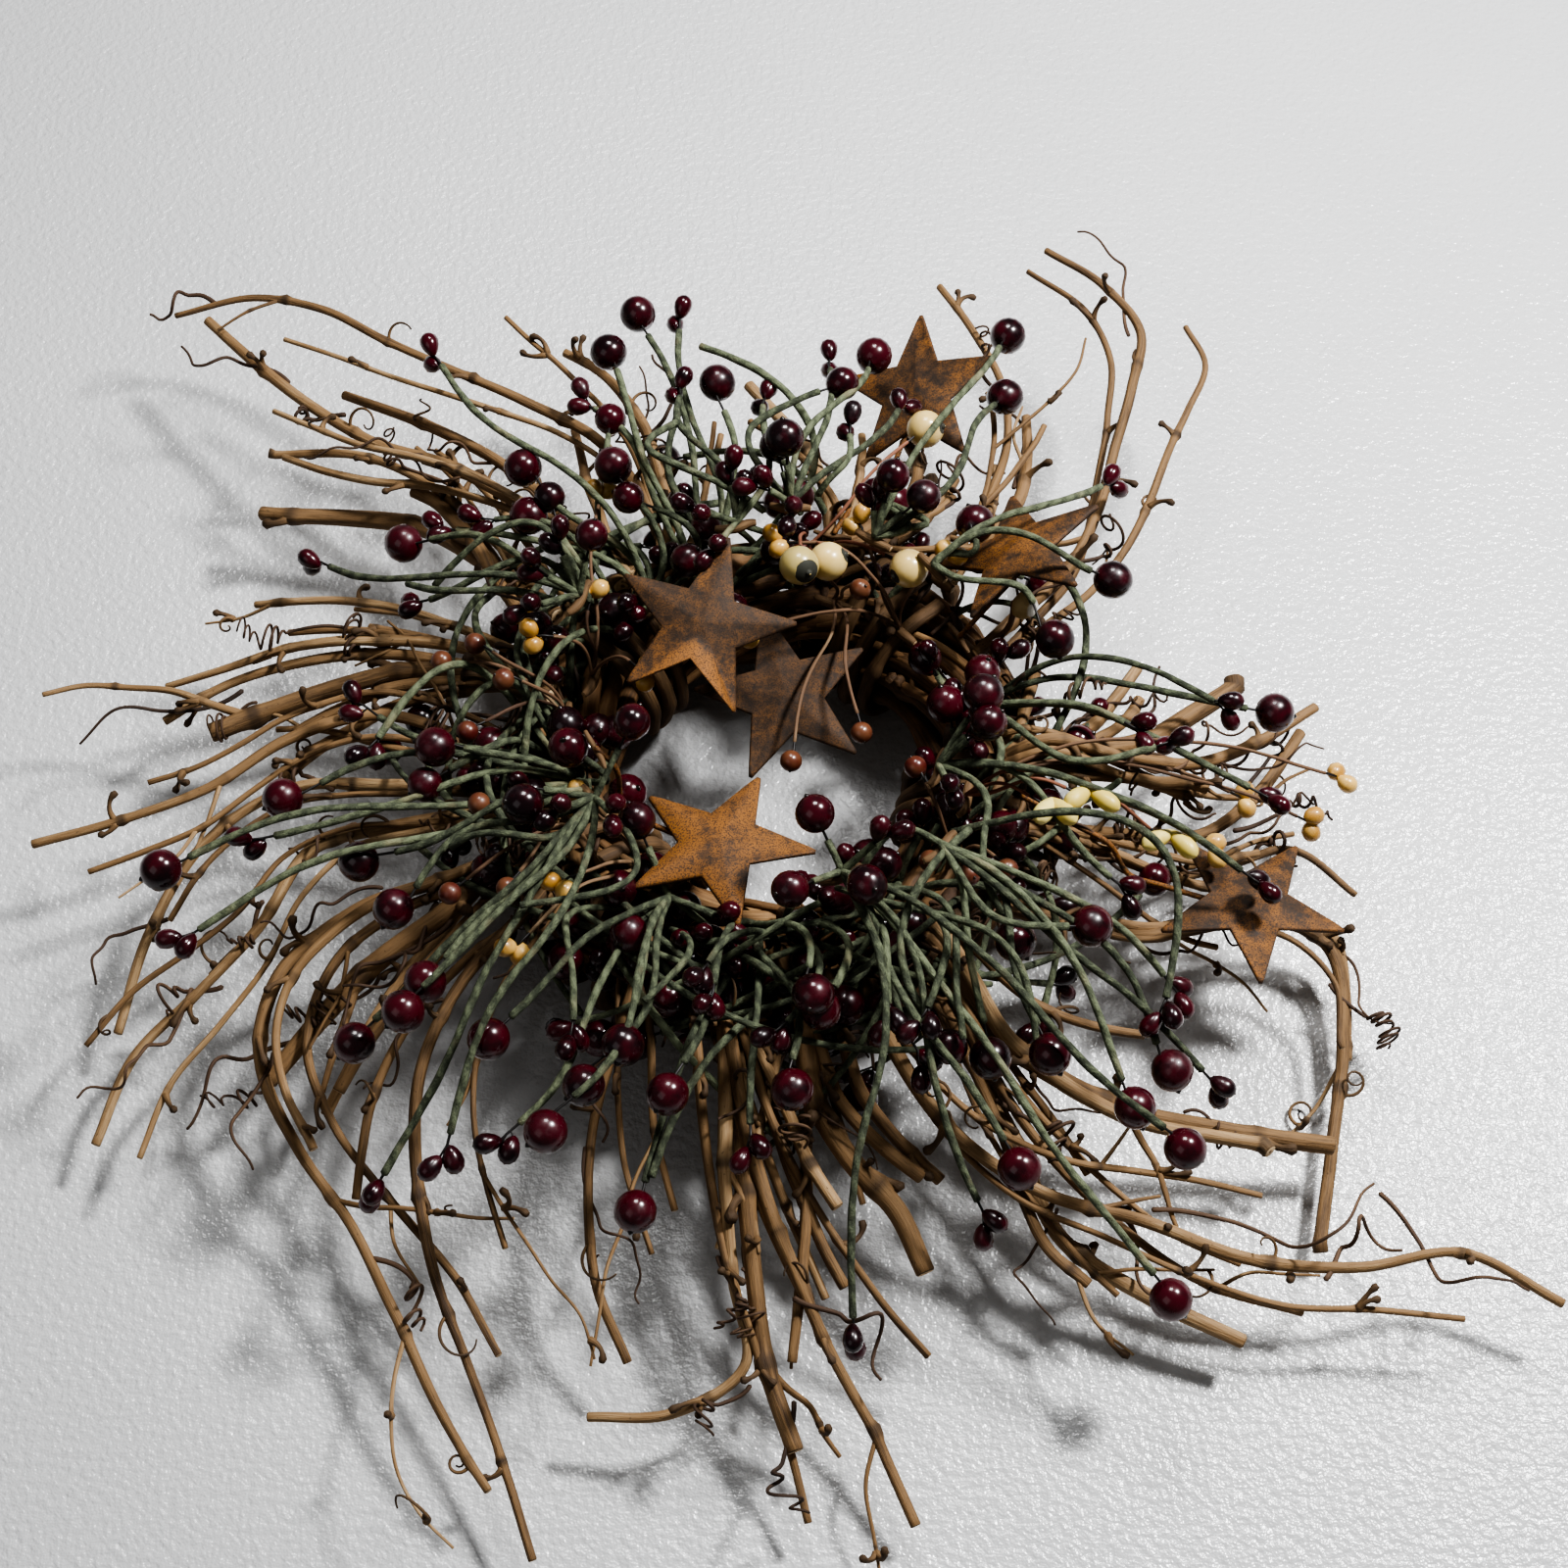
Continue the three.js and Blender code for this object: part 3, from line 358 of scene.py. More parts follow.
def woody(stock, line, rng, sides=12, step=2.2, spurs=0.0, twigs=0.0, kink=0.4, slot=0, twist=0.0):
    """A length of vine or cane with swollen nodes, long ribs, and spurs or twigs at some nodes."""
    path, radius = smooth([p for p, _ in line], [r for _, r in line], step * MM)
    n = len(path)
    s = run_of(path)
    thick = radius.mean()
    nodes = []
    at = rng.uniform(*FIRST_NODE) * MM
    while at < s[-1]:
        nodes.append(at)
        at += rng.uniform(*NODE_GAP) * MM
    swell = np.zeros(n)
    for at in nodes:
        hump = np.exp(-(((s - at) / (0.8 * thick + 0.5 * MM)) ** 2))
        swell = np.maximum(swell, hump * rng.uniform(0.5, 1.1))
    # Between its nodes a cane runs straight, and it turns a little at each of them.
    bends, lift = (
        np.interp(s, [0, *nodes, s[-1]], [0] + [rng.uniform(-1, 1) for _ in nodes] + [0])
        for _ in range(2)
    )
    along = unit(np.gradient(path, axis=0))
    level = np.cross(along, (0, 0, 1))
    level /= np.maximum(np.linalg.norm(level, axis=1), 1e-6)[:, None]
    path = path + level * (bends * kink * thick)[:, None] + UP * (lift * 0.5 * kink * thick)[:, None]
    turn = np.arange(sides) * 2 * math.pi / sides
    phase = rng.uniform(0, 6.28)
    ribs = (
        1
        + 0.045 * np.sin(3 * turn[None] + phase + s[:, None] * 40 * twist)
        + 0.03 * np.sin(5 * turn[None] + 2 * phase - s[:, None] * 30)
    )
    drift = 1 + 0.07 * np.sin(s / (17 * MM) + phase)
    # Each node bulges to one side, and the next one to the other.
    turns = [phase + math.pi * (k + rng.uniform(-0.2, 0.2)) for k in range(len(nodes))]
    facing = np.interp(s, nodes or [0], turns or [0])
    knob = 0.2 + 0.42 * np.maximum(np.cos(turn[None] - facing[:, None]), 0) ** 2
    skin = radius[:, None] * ribs * drift[:, None] * (1 + knob * swell[:, None])
    tint = rng.random()
    stock.tube(path, skin, sides, tint=tint, slot=slot, mark=swell, cut=(True, True))
    for at in nodes:
        i = int(np.searchsorted(s, at))
        if not 1 < i < n - 1:
            continue
        if rng.random() < twigs and at > 0.3 * s[-1]:
            twig(stock, path[i], along[i], level[i], radius[i], rng, slot)
        elif rng.random() < spurs:
            for _ in range(rng.choice((1, 1, 2))):
                spur(stock, path[i], along[i], level[i], radius[i], rng, tint, slot)
    return path, radius


def twig(stock, at, along, level, thick, rng, slot):
    """A side shoot that leaves a cane at a node, zigzags, and ends in a snapped tip."""
    spread = rng.uniform(0.5, 1.0) * rng.choice((-1, 1))
    heading = along * math.cos(spread) + level * math.sin(spread) + UP * rng.uniform(-0.1, 0.35)
    stride = rng.uniform(7, 13) * MM
    line, place = [], at.copy()
    size = max(0.5 * thick, 0.65 * MM)
    steps = rng.randint(2, 5)
    for k in range(steps + 1):
        line.append((Vector(place), size * (1 - 0.45 * k / steps)))
        wander = level * rng.uniform(-0.45, 0.45) + UP * rng.uniform(-0.25, 0.2)
        heading = unit(heading + wander + along * 0.15)
        place = place + heading * stride
        place[2] = max(place[2], 2.5 * MM)
        if (place <= LOW - 6 * MM).any() or (place >= HIGH + 6 * MM).any():
            break
    if len(line) > 2:
        woody(stock, line, rng, sides=8, step=1.6, spurs=0.9, slot=slot)


def spur(stock, at, along, level, thick, rng, tint, slot):
    """What is left of a shoot at a node: a stubby dark hook with a ragged flared end, or a thin curl."""
    up = np.cross(level, along)
    turn = rng.uniform(0, 2 * math.pi)
    out = level * math.cos(turn) + up * math.sin(turn)
    if out[2] < -0.3:
        out = -out
    curl = rng.random() < 0.22
    heading = unit(out + along * rng.uniform(0.3, 1.0))
    length = rng.uniform(10, 22) * MM if curl else rng.uniform(4.5, 10) * MM
    steps = 18 if curl else 8
    bend = rng.uniform(3.0, 8.5) if curl else rng.uniform(0.4, 2.4)
    hinge = np.cross(heading, along) + 0.3 * np.array([rng.uniform(-1, 1) for _ in range(3)])
    hinge = unit(hinge) * rng.choice((-1, 1))
    place = at + out * thick * 0.5
    points = [place]
    for k in range(steps):
        angle = bend / steps * (0.5 + k / steps)
        heading = heading * math.cos(angle) + np.cross(hinge, heading) * math.sin(angle)
        heading = unit(heading + hinge * 0.04)
        place = place + heading * length / steps
        points.append(place)
    t = np.linspace(0, 1, len(points))
    if curl:
        widths = 0.55 * MM * (1 - 0.55 * t)
    else:
        flare = 0.8 + 0.8 * (1 - t) ** 3 + 0.75 * np.exp(-(((t - 0.88) / 0.14) ** 2))
        widths = max(thick * 0.48, 0.75 * MM) * flare
    stock.tube(
        points, widths, 7, tint=tint * 0.5, slot=slot, mark=0.3 + 0.7 * t,
        cut=(False, not curl), cut_mark=0.9,
    )


def place_piece(stock, name, materials, slot, *nodes):
    """Builds a piece, flat where it rests on the back plane, and fixes it to the wreath."""
    for spots in stock.spots:
        spots[:, 2] = np.maximum(spots[:, 2], 0.0)
    piece = stock.build(name, materials)
    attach(piece, "root")
    if nodes:
        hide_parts(*nodes)
    return piece


RING_VINES = ["ring_vine_core"] + [f"ring_vine_outer_{i}" for i in range(1, 5)]
for number, node in enumerate(RING_VINES):
    rng = random.Random(100 + number)
    strands, _ = trace(node, 5)
    stock = Stock()
    line = [(place, r) for place, r in strands[0] if r > 0]
    woody(stock, line, rng, sides=12, step=2.6, spurs=0.25, twist=0.5)
    place_piece(stock, node.replace("ring_vine", "vine"), [VINE_BARK], "vine_bark", node)

ring_low = Vector([min(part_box(n)[0][i] for n in RING_VINES) for i in range(3)])
ring_high = Vector([max(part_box(n)[1][i] for n in RING_VINES) for i in range(3)])
RING = (ring_low + ring_high) / 2
BUNDLE = (ring_high.z - ring_low.z) / 2
RING_REACH = (ring_high.x - ring_low.x) / 2 - BUNDLE


def on_ring(turn, out, roll):
    """A place out from the middle of the bundle, turn radians round the ring."""
    reach = RING_REACH + out * math.cos(roll)
    return RING + Vector((reach * math.cos(turn), reach * math.sin(turn), out * math.sin(roll)))


# Thinner runners fill the grooves between the turns and wander over them.
stock = Stock()
for number in range(RUNNERS):
    rng = random.Random(200 + number)
    start, roll = rng.uniform(0, 6.28), rng.uniform(0, 6.28)
    lay = rng.uniform(0.7, 1.4) * rng.choice((1, 1, 1, -1))
    size = rng.uniform(0.9, 1.7) * MM
    line = []
    for k in range(int(rng.uniform(18, 34))):
        out = BUNDLE - 0.4 * MM + rng.uniform(-0.8, 1.0) * MM
        line.append((on_ring(start + k * STRIDE, out, roll + lay * k * STRIDE), size))
    woody(stock, line, rng, sides=8, step=2.6, spurs=0.3)
place_piece(stock, "vine_runners", [VINE_BARK], "vine_bark")

# ---- Wraps ----
# Four darker vines wound a few times round the bundle hold it together. They are pressed flat at the
# back, where they lie against the door.

WRAP_BARK = bark("wrap_bark", (0.038, 0.021, 0.01), (0.14, 0.08, 0.036), (0.28, 0.18, 0.09))

for number in range(1, 5):
    node = f"wrap_vine_{number}"
    rng = random.Random(300 + number)
    strands, _ = trace(node, 6)
    stock = Stock()
    line = [(place, r) for place, r in strands[0] if r > 0]
    woody(stock, line, rng, sides=12, step=2.0, spurs=0.2)
    place_piece(stock, f"wrap_{number}", [WRAP_BARK], "wrap_bark", node)

# ---- Canes ----
# Bunches of dry golden canes, bound at their feet and pushed in over the ring. They are ribbed and
# speckled, swollen where buds were, with short spurs and curls, and most are cut square.

CANE_BARK = bark("cane_bark", (0.058, 0.031, 0.014), (0.218, 0.129, 0.058), (0.43, 0.3, 0.165), grime=1.0)
CANE = {"step": 2.0, "spurs": 0.95, "twigs": 0.2, "kink": 0.9}
COMPANIONS = 2
FOOT = 12  # millimetres of a bunch that are lashed to the ring


def bound_foot(stock, foot, slot):
    """The lashed foot of a bunch, a strip of bark wound flat along the ring. Returns its middle."""
    (first, _), (second, thick) = foot[0][:2]
    last = first + (second - first).normalized() * FOOT * MM
    path, _ = smooth([first, first.lerp(last, 0.5), last], [thick] * 3, 0.8 * MM)
    t = np.linspace(0, 1, len(path))
    radius = thick * 0.55 * (1 - 0.35 * (2 * t - 1) ** 2)
    path = path + np.array([0, 0, -0.8 * thick]) + 0.6 * MM * np.sin(t * 5)[:, None] * np.array([1, -1, 0])
    stock.tube(path, radius, 10, slot=slot, cut=(True, True))
    return first.lerp(last, 0.5)


def sideways(path):
    """The level direction square to the run of the path."""
    return unit(np.cross(path[-1] - path[0], UP))


def companion(stock, path, radius, rng):
    """A thinner cane of the same bunch, that starts a little along the ring and spreads from it."""
    reach = rng.uniform(0.5, 0.98)
    picks = np.linspace(0, reach * (len(path) - 1), 9).astype(int)
    spot = path[picks]
    way = sideways(spot)
    t = np.linspace(0, 1, len(spot))[:, None]
    start, spread = rng.uniform(-9, 9) * MM, rng.uniform(6, 26) * MM * rng.choice((-1, 1))
    lift = rng.uniform(-7, 7) * MM
    spot = spot + way * (start * (1 - t) + spread * t**1.3) + UP * lift * t**0.5
    spot[:, 2] = np.maximum(spot[:, 2], 3 * MM)
    size = np.maximum(radius[picks] * rng.uniform(0.45, 0.8), 0.85 * MM)
    spot[:, :2] = np.clip(spot[:, :2], LOW[:2] - 4 * MM, HIGH[:2] + 4 * MM)
    woody(stock, [(Vector(p), r) for p, r in zip(spot, size)], rng, sides=10, **CANE)


CANE_LINES = []
for number in range(1, 21):
    node = f"cane_bunch_{number:02d}"
    rng = random.Random(400 + number)
    strands, foot = trace(node, 5)
    stock = Stock()
    middle = bound_foot(stock, foot, 1)
    for line in strands:
        line = [(p, r) for p, r in line if r > 0] + [(middle, line[-1][1] * 0.9)]
        line.reverse()
        path, radius = woody(stock, line, rng, sides=12, **CANE)
        CANE_LINES.append(path)
        for _ in range(COMPANIONS):
            companion(stock, path, radius, rng)
    place_piece(stock, node.replace("cane_bunch", "canes"), [CANE_BARK, WRAP_BARK], "cane_bark", node)

# ---- Berry sprays ----
# Wire stems wrapped in sage-green paper arch out of a taped foot. Near its end the paper stops, and a
# thin black wire carries a burgundy berry with a dark nub, or a pair of long burgundy pips. Shorter
# stems of the same kind are laid along the ring and tucked into it.

PIP = 2.75 * MM
BERRY = 4.6 * MM  # beads from this radius up are berries, and smaller ones pips
WIRE = 0.38 * MM
PAPER_STEP = 1.4 * MM
SIBLINGS, FOOT_STEMS = 0.7, 4  # siblings per stem, and short stems at the foot of a spray
LAID_STEMS, SHORT_STEMS = 80, 110
HOLE_ROOM, STAR_ROOM, PIP_ROOM = 6 * MM, 17 * MM, 4.5 * MM

paper = Look("green_paper", Roughness=0.8)
paper_grain = paper.field("grain")
across, up, run = paper.parts(paper_grain)
lap = (up.maths("ARCTAN2", across) + run * 1.1 + paper.noise(paper_grain, 0.35) * 5).sine()
crumple = paper.noise(paper.scaled(paper_grain, (2.2, 2.2, 1.2)), 1.0, 4, 0.65)
paper_shade = (lap * 0.12 + crumple * 0.9 + paper.field("tint") * 0.3 - 0.1).between(0.2, 0.85)
paper_colour = paper.mix(paper_shade, (0.036, 0.043, 0.025), (0.165, 0.19, 0.112))
stain = paper.noise(paper_grain, 0.08, 2).between(0.55, 0.75) * 0.6
paper_colour = paper.mix(stain, paper_colour, (0.3, 0.26, 0.15))
PAPER = paper.surface(bump=lap * 0.25 + crumple, strength=0.9, depth=0.6, Base_Color=paper_colour)

wire = Look("black_wire", Roughness=0.45, Base_Color=(0.012, 0.01, 0.009, 1))
wire_noise = wire.noise(wire.field("grain"), 1.5)
BLACK_WIRE = wire.surface(bump=wire_noise, strength=0.4, depth=0.1, Roughness=0.35 + wire_noise * 0.3)


def fruit(name, deep, bright, haze, coat=0.6, rough=0.16, haze_share=0.35):
    """A painted berry skin: one colour deepening in patches, fine dust, and a clear coat."""
    look = Look(name, IOR=1.5)
    place = look.place()
    patches = look.noise(place, 170, 3)
    dust = look.noise(place, 900, 5, 0.7)
    veil = look.noise(place, 110, 2).between(0.42, 0.72)
    colour = look.mix((patches + look.field("tint") * 0.3).between(0.45, 0.85), deep, bright)
    colour = look.mix(dust.between(0.48, 0.75) * veil * haze_share, colour, haze)
    colour = look.mix(look.field("mark").between(0.5, 0.9), colour, (0.012, 0.008, 0.006))
    roughness = rough + dust * veil * 0.4
    return look.surface(
        bump=dust * 0.3 + patches, strength=0.12, depth=0.3, Base_Color=colour, Roughness=roughness,
        Coat_Weight=coat - veil * coat * 0.5,
    )


BURGUNDY = fruit(
    "burgundy", (0.009, 0.001, 0.003), (0.062, 0.003, 0.009), (0.24, 0.12, 0.14),
    coat=0.45, rough=0.2, haze_share=0.14,
)


def ball(stock, middle, axis, radius, rng, slot, length=1.0, taper=0.0, nub=0.16, rings=12, sides=16):
    """A berry or pip on axis: round, or drawn out and tapering. It ends in a dark nub, where it has one."""
    t = np.linspace(0.02, 1, rings) * math.pi
    t = np.concatenate([t[:-1], [math.pi * 0.965]])
    axis, middle = unit(np.asarray(axis, float)), np.asarray(middle, float)
    path = middle - axis * (np.cos(t) * radius * length)[:, None]
    width = np.sin(t) * radius * (1 + taper * np.cos(t))
    mark = np.where(t > math.pi * (1 - nub * 0.55), 1.0, 0.0)
    lumps = 1 + 0.02 * np.sin(2 * np.arange(sides) * 2 * math.pi / sides + rng.uniform(0, 6))
    stock.tube(path, width[:, None] * lumps[None], sides, tint=rng.random(), slot=slot, mark=mark)
    if not nub:
        return
    tip = middle + axis * radius * length
    nub = min(nub, 0.2)
    knob = [tip - axis * radius * 0.08, tip + axis * radius * 0.02, tip + axis * radius * 0.1]
    stock.tube(knob, radius * np.array([nub, nub * 0.9, nub * 0.4]), 8, slot=slot, mark=np.ones(3))


def bead_of(line):
    """Splits a traced stem, tip first, into its bead and the stem behind it."""
    widest = max(r for _, r in line[:4])
    bead, rest = [], []
    for place, r in line[1:]:
        if not rest and r > 0.5 * widest:
            bead.append((place, r))
        elif rest and not 0.7 * rest[0][1] < r < 1.4 * rest[0][1]:
            break
        else:
            rest.append((place, r))
    middle = sum((p for p, _ in bead), Vector()) / len(bead)
    if len(bead) == 2:
        # A small bead has two rings only, each 0.45 of its radius from its middle.
        widest /= math.sqrt(1 - 0.45**2)
    return middle, widest, rest


def wrapped_stem(stock, rest, middle, root, rng, neck, girth=1.18, bow=0.0):
    """A wrapped stem from the root to near the bead, and the bare wire that goes on into it. girth is
    its width against the traced one, and bow is how far it may swing sideways, in millimetres."""
    usual = sorted(r for _, r in rest)[len(rest) // 2] * girth
    line = [root] + [p for p, _ in reversed(rest)]
    path, width = smooth(line, [usual] * len(line), PAPER_STEP)
    s = run_of(path)
    stop = max(int(np.searchsorted(s, s[-1] - neck)), 6)
    sway = [np.sin(s / (9 * MM) + rng.uniform(0, 6)), np.cos(s / (11 * MM) + rng.uniform(0, 6)), 0 * s]
    ease = np.minimum(s, s[-1] - s) / s[-1]
    path = path + np.stack(sway, 1) * (1.3 * MM * ease)[:, None]
    share = s / s[-1]
    bend = rng.uniform(-1, 1) * np.sin(math.pi * share)
    bend = bend + rng.uniform(-0.6, 0.6) * np.sin(2 * math.pi * share)
    path = path + sideways(path) * (bow * MM * bend)[:, None]
    turn = np.arange(10) * 2 * math.pi / 10
    lap = np.sin(turn[None] + s[:stop, None] * 500 + rng.uniform(0, 6))
    uneven = np.sin(s[:stop, None] / (4 * MM) + rng.uniform(0, 6))
    skin = width[:stop, None] * (1.02 + 0.05 * lap + 0.07 * uneven)
    stock.tube(path[:stop], skin, 10, tint=rng.random())
    tail = np.concatenate([path[stop - 2 :], [tuple(middle)]])
    stock.tube(tail, np.full(len(tail), WIRE), 6, slot=2)
    return path, unit(path[-1] - path[-3])


def star_pose(node):
    """The middle of a star's face and its five tips, read off the CAD star."""
    work = bmesh.new()
    work.from_mesh(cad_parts[node].data)
    bmesh.ops.remove_doubles(work, verts=work.verts[:], dist=1e-6)
    work.normal_update()
    for hub in work.verts:
        corners = [edge.other_vert(hub).co.copy() for edge in hub.link_edges]
        corners.sort(key=lambda c: (hub.co - c).length)
        tips = corners[-5:]
        if (tips[0] - hub.co).length > 25 * MM and sum(hub.normal.dot(c - hub.co) for c in tips) < 0:
            break
    middle = hub.co.copy()
    face = hub.normal.copy() if hub.normal.z > 0 else -hub.normal
    work.free()
    return middle, face, tips


# The hole, the faces of the stars and the small pips are left clear.
OPEN = [(np.array(RING), RING_REACH - BUNDLE - HOLE_ROOM)]
OPEN += [(np.array(star_pose(f"tin_star_{i}")[0]), STAR_ROOM) for i in range(1, 5)]
for node in ("hip_spray_1", "hip_spray_2", "yellow_spray", "cream_spray", "gold_spray_2", "gold_spray_3"):
    OPEN += [(np.array(line[0][0]), PIP_ROOM) for line in trace(node, 5)[0]]


def pip_pair(
    stock, middle, heading, rng, neck=None, apart=2.5, stagger=1.6, splay=0.55, length=1.4, taper=-0.24
):
    """Two pips side by side that part from the end of one wire, the neck."""
    side = unit(np.cross(heading, (rng.uniform(-1, 1), rng.uniform(-1, 1), 0.4)))
    for sign in (-1, 1):
        spot = np.array(middle) + (side * apart + heading * stagger) * sign * MM
        aim = heading + side * sign * splay
        ball(stock, spot, aim, PIP, rng, 1, length=length, taper=taper, nub=0, rings=8, sides=9)
        if neck is not None:
            stock.tube([neck, spot - unit(aim) * 3 * MM], [0.3 * MM] * 2, 6, slot=2)


def sibling(stock, paths, rng):
    """A further stem of the spray, that runs between two of the others."""
    first, second = (paths[rng.randrange(len(paths))] for _ in range(2))
    share = rng.uniform(-0.25, 1.25)
    reach = rng.uniform(0.45, 0.95)
    t = np.linspace(0, reach, 60)
    first, second = (
        np.stack([np.interp(t, np.linspace(0, 1, len(p)), p[:, i]) for i in range(3)], 1)
        for p in (first, second)
    )
    path = first * (1 - share) + second * share
    length = np.linalg.norm(path[-1] - path[0])
    level = sideways(path)
    bow, sway = rng.uniform(-0.45, 0.45) * length, rng.uniform(-0.07, 0.07) * length
    t = t / reach
    path = path + level * (bow * np.sin(t * 2.9) + sway * np.sin(t * 6.5))[:, None]
    away = np.array([rng.uniform(-8, 8), rng.uniform(-8, 8), rng.uniform(-9, -3)]) * MM
    path = path + away * ((1 - t) ** 2)[:, None]
    arch, ripple = rng.uniform(-0.02, 0.2) * length, rng.uniform(-0.03, 0.03) * length
    path[:, 2] += arch * np.sin(t * 2.8) + ripple * np.sin(t * 7)
    path[:, 2] = np.clip(path[:, 2], 4 * MM + 6 * MM * rng.random(), HIGH[2])
    fruited_stem(stock, path, rng, rng.random())


def laid_stem(stock, rng):
    """A stem laid over the ring in an arc, from inside the bundle to a free end outside it."""
    t = np.linspace(0, 1, 12)
    turn = rng.choice((rng.uniform(0, 2 * math.pi), rng.uniform(-2.7, -0.2)))
    turn = turn + rng.uniform(0.25, 1.4) * rng.choice((-1, 1)) * t
    reach = RING_REACH + rng.uniform(-10, 14) * MM
    out = reach + rng.uniform(-2, 50) * MM * t**1.6 + rng.uniform(0, 16) * MM * np.sin(math.pi * t)
    high = RING.z + BUNDLE - 5 * MM * (1 - t) ** 4 + rng.uniform(1, 9) * MM * t
    high = high + rng.uniform(6, 26) * MM * np.sin(math.pi * t**0.8) - 0.25 * np.maximum(out - reach, 0)
    path = np.stack([RING.x + out * np.cos(turn), RING.y + out * np.sin(turn), high], 1)
    fruited_stem(stock, path, rng, rng.random())


def short_stem(stock, rng):
    """A short stem that stands out of the ring, mostly with pips."""
    turn = rng.choice((rng.uniform(0, 2 * math.pi), rng.uniform(-2.7, -0.1)))
    roll = rng.uniform(0.5, 2.2)
    start = np.array(on_ring(turn, BUNDLE - 5 * MM, roll))
    out = np.array(on_ring(turn, BUNDLE, roll)) - start
    tangent = np.array([-math.sin(turn), math.cos(turn), 0])
    heading = unit(out) + tangent * rng.uniform(-1.2, 1.2)
    t = np.linspace(0, 1, 5)[:, None]
    path = start + heading * t * rng.uniform(8, 17) * MM
    path = path + tangent * np.sin(3.1 * t) * rng.uniform(-4, 4) * MM
    fruited_stem(stock, path, rng, rng.uniform(0, 0.75))


def fruited_stem(stock, path, rng, ending):
    """A wrapped stem along the path that ends in a pair of pips, a berry, or a cut, as ending says."""
    reach = np.concatenate([path, [path[-1] + unit(path[-1] - path[-2]) * 10 * MM]])
    if any(np.linalg.norm(reach[:, :2] - middle[:2], axis=1).min() < room for middle, room in OPEN):
        return
    path, width = smooth(path, [rng.uniform(0.9, 1.15) * MM] * len(path), PAPER_STEP)
    turn = np.arange(10) * 2 * math.pi / 10
    lap = np.sin(turn[None] + np.arange(len(path))[:, None] * 0.7)
    uneven = np.sin(np.arange(len(path))[:, None] * 0.35 + rng.uniform(0, 6))
    skin = width[:, None] * (1 + 0.05 * lap + 0.07 * uneven)
    stock.tube(path, skin, 10, tint=rng.random(), cut=(False, True), cut_mark=0.3)
    heading = unit(path[-1] - path[-4])
    tip = path[-1] + heading * 6 * MM
    if ending < 0.42:
        pip_pair(stock, tip, heading, rng, path[-1])
    elif ending < 0.8:
        stock.tube([path[-2], path[-1] + heading * 3 * MM, tip], [WIRE] * 3, 6, slot=2)
        ball(stock, tip + heading * 2 * MM, heading, rng.uniform(4.6, 5.6) * MM, rng, 1)


for number in range(1, 16):
    node = f"berry_spray_{number:02d}"
    rng = random.Random(500 + number)
    strands, foot = trace(node, 5)
    stock = Stock()
    root = bound_foot(stock, foot, 3)
    paths = []
    for line in strands:
        middle, radius, rest = bead_of(line)
        if not rest:
            continue
        path, heading = wrapped_stem(stock, rest, middle, root, rng, rng.uniform(1.5, 5) * MM, bow=7)
        paths.append(path)
        if radius > BERRY:
            ball(stock, middle, heading, radius, rng, 1)
        else:
            pip_pair(stock, middle, heading, rng, path[-2])
    for _ in range(int(SIBLINGS * len(paths))):
        sibling(stock, paths, rng)
    # A few short stems with fruit cover the foot of the spray.
    for _ in range(FOOT_STEMS):
        way = np.array([rng.uniform(-1, 1), rng.uniform(-1, 1), rng.uniform(0.3, 0.9)])
        path = np.array(root) + way * np.linspace(0, rng.uniform(7, 13), 5)[:, None] * MM
        fruited_stem(stock, path, rng, rng.uniform(0, 0.8))
    name = node.replace("berry_spray", "berries")
    place_piece(stock, name, [PAPER, BURGUNDY, BLACK_WIRE, WRAP_BARK], "burgundy_berry", node)

stock = Stock()
for number in range(SHORT_STEMS):
    if number < LAID_STEMS:
        laid_stem(stock, random.Random(900 + number))
    short_stem(stock, random.Random(1100 + number))
place_piece(stock, "laid_stems", [PAPER, BURGUNDY, BLACK_WIRE], "burgundy_berry")

# ---- Small sprays ----
# Thin brown stems carry small reddish-brown hips, pairs of mustard pips, cream berries with dark
# chipped patches, and pale yellow pips on red-brown curly stems.

BROWN_STEM = bark("brown_stem", (0.04, 0.018, 0.01), (0.16, 0.09, 0.05), (0.33, 0.24, 0.14))
RED_STEM = bark("red_stem", (0.07, 0.025, 0.014), (0.23, 0.09, 0.05), (0.36, 0.18, 0.11))
HIP = fruit(
    "hip", (0.085, 0.012, 0.01), (0.15, 0.06, 0.03), (0.36, 0.26, 0.2), coat=0.25, rough=0.3, haze_share=0.15
)
MUSTARD = fruit(
    "mustard", (0.42, 0.22, 0.05), (0.66, 0.43, 0.14), (0.8, 0.66, 0.4), coat=0.3, rough=0.3, haze_share=0.2
)
YELLOW = fruit(
    "yellow", (0.6, 0.47, 0.12), (0.74, 0.63, 0.24), (0.8, 0.74, 0.45), coat=0.1, rough=0.4, haze_share=0.2
)

cream = Look("cream", Coat_Weight=0.3)
cream_place = cream.place()
chip = (cream.field("mark") + cream.noise(cream_place, 420, 4) * 0.6 - 0.3).between(0.45, 0.55)
cream_colour = cream.mix(cream.noise(cream_place, 250), (0.55, 0.39, 0.13), (0.75, 0.58, 0.27))
cream_colour = cream.mix(cream.field("tint").between(0.6, 0.9) * 0.6, cream_colour, (0.3, 0.26, 0.1))
cream_colour = cream.mix(chip, cream_colour, (0.035, 0.035, 0.025))
CREAM = cream.surface(
    bump=cream.noise(cream_place, 800) * 0.2 - chip, strength=0.35, depth=0.3,
    Base_Color=cream_colour, Roughness=0.3 + chip * 0.45,
)

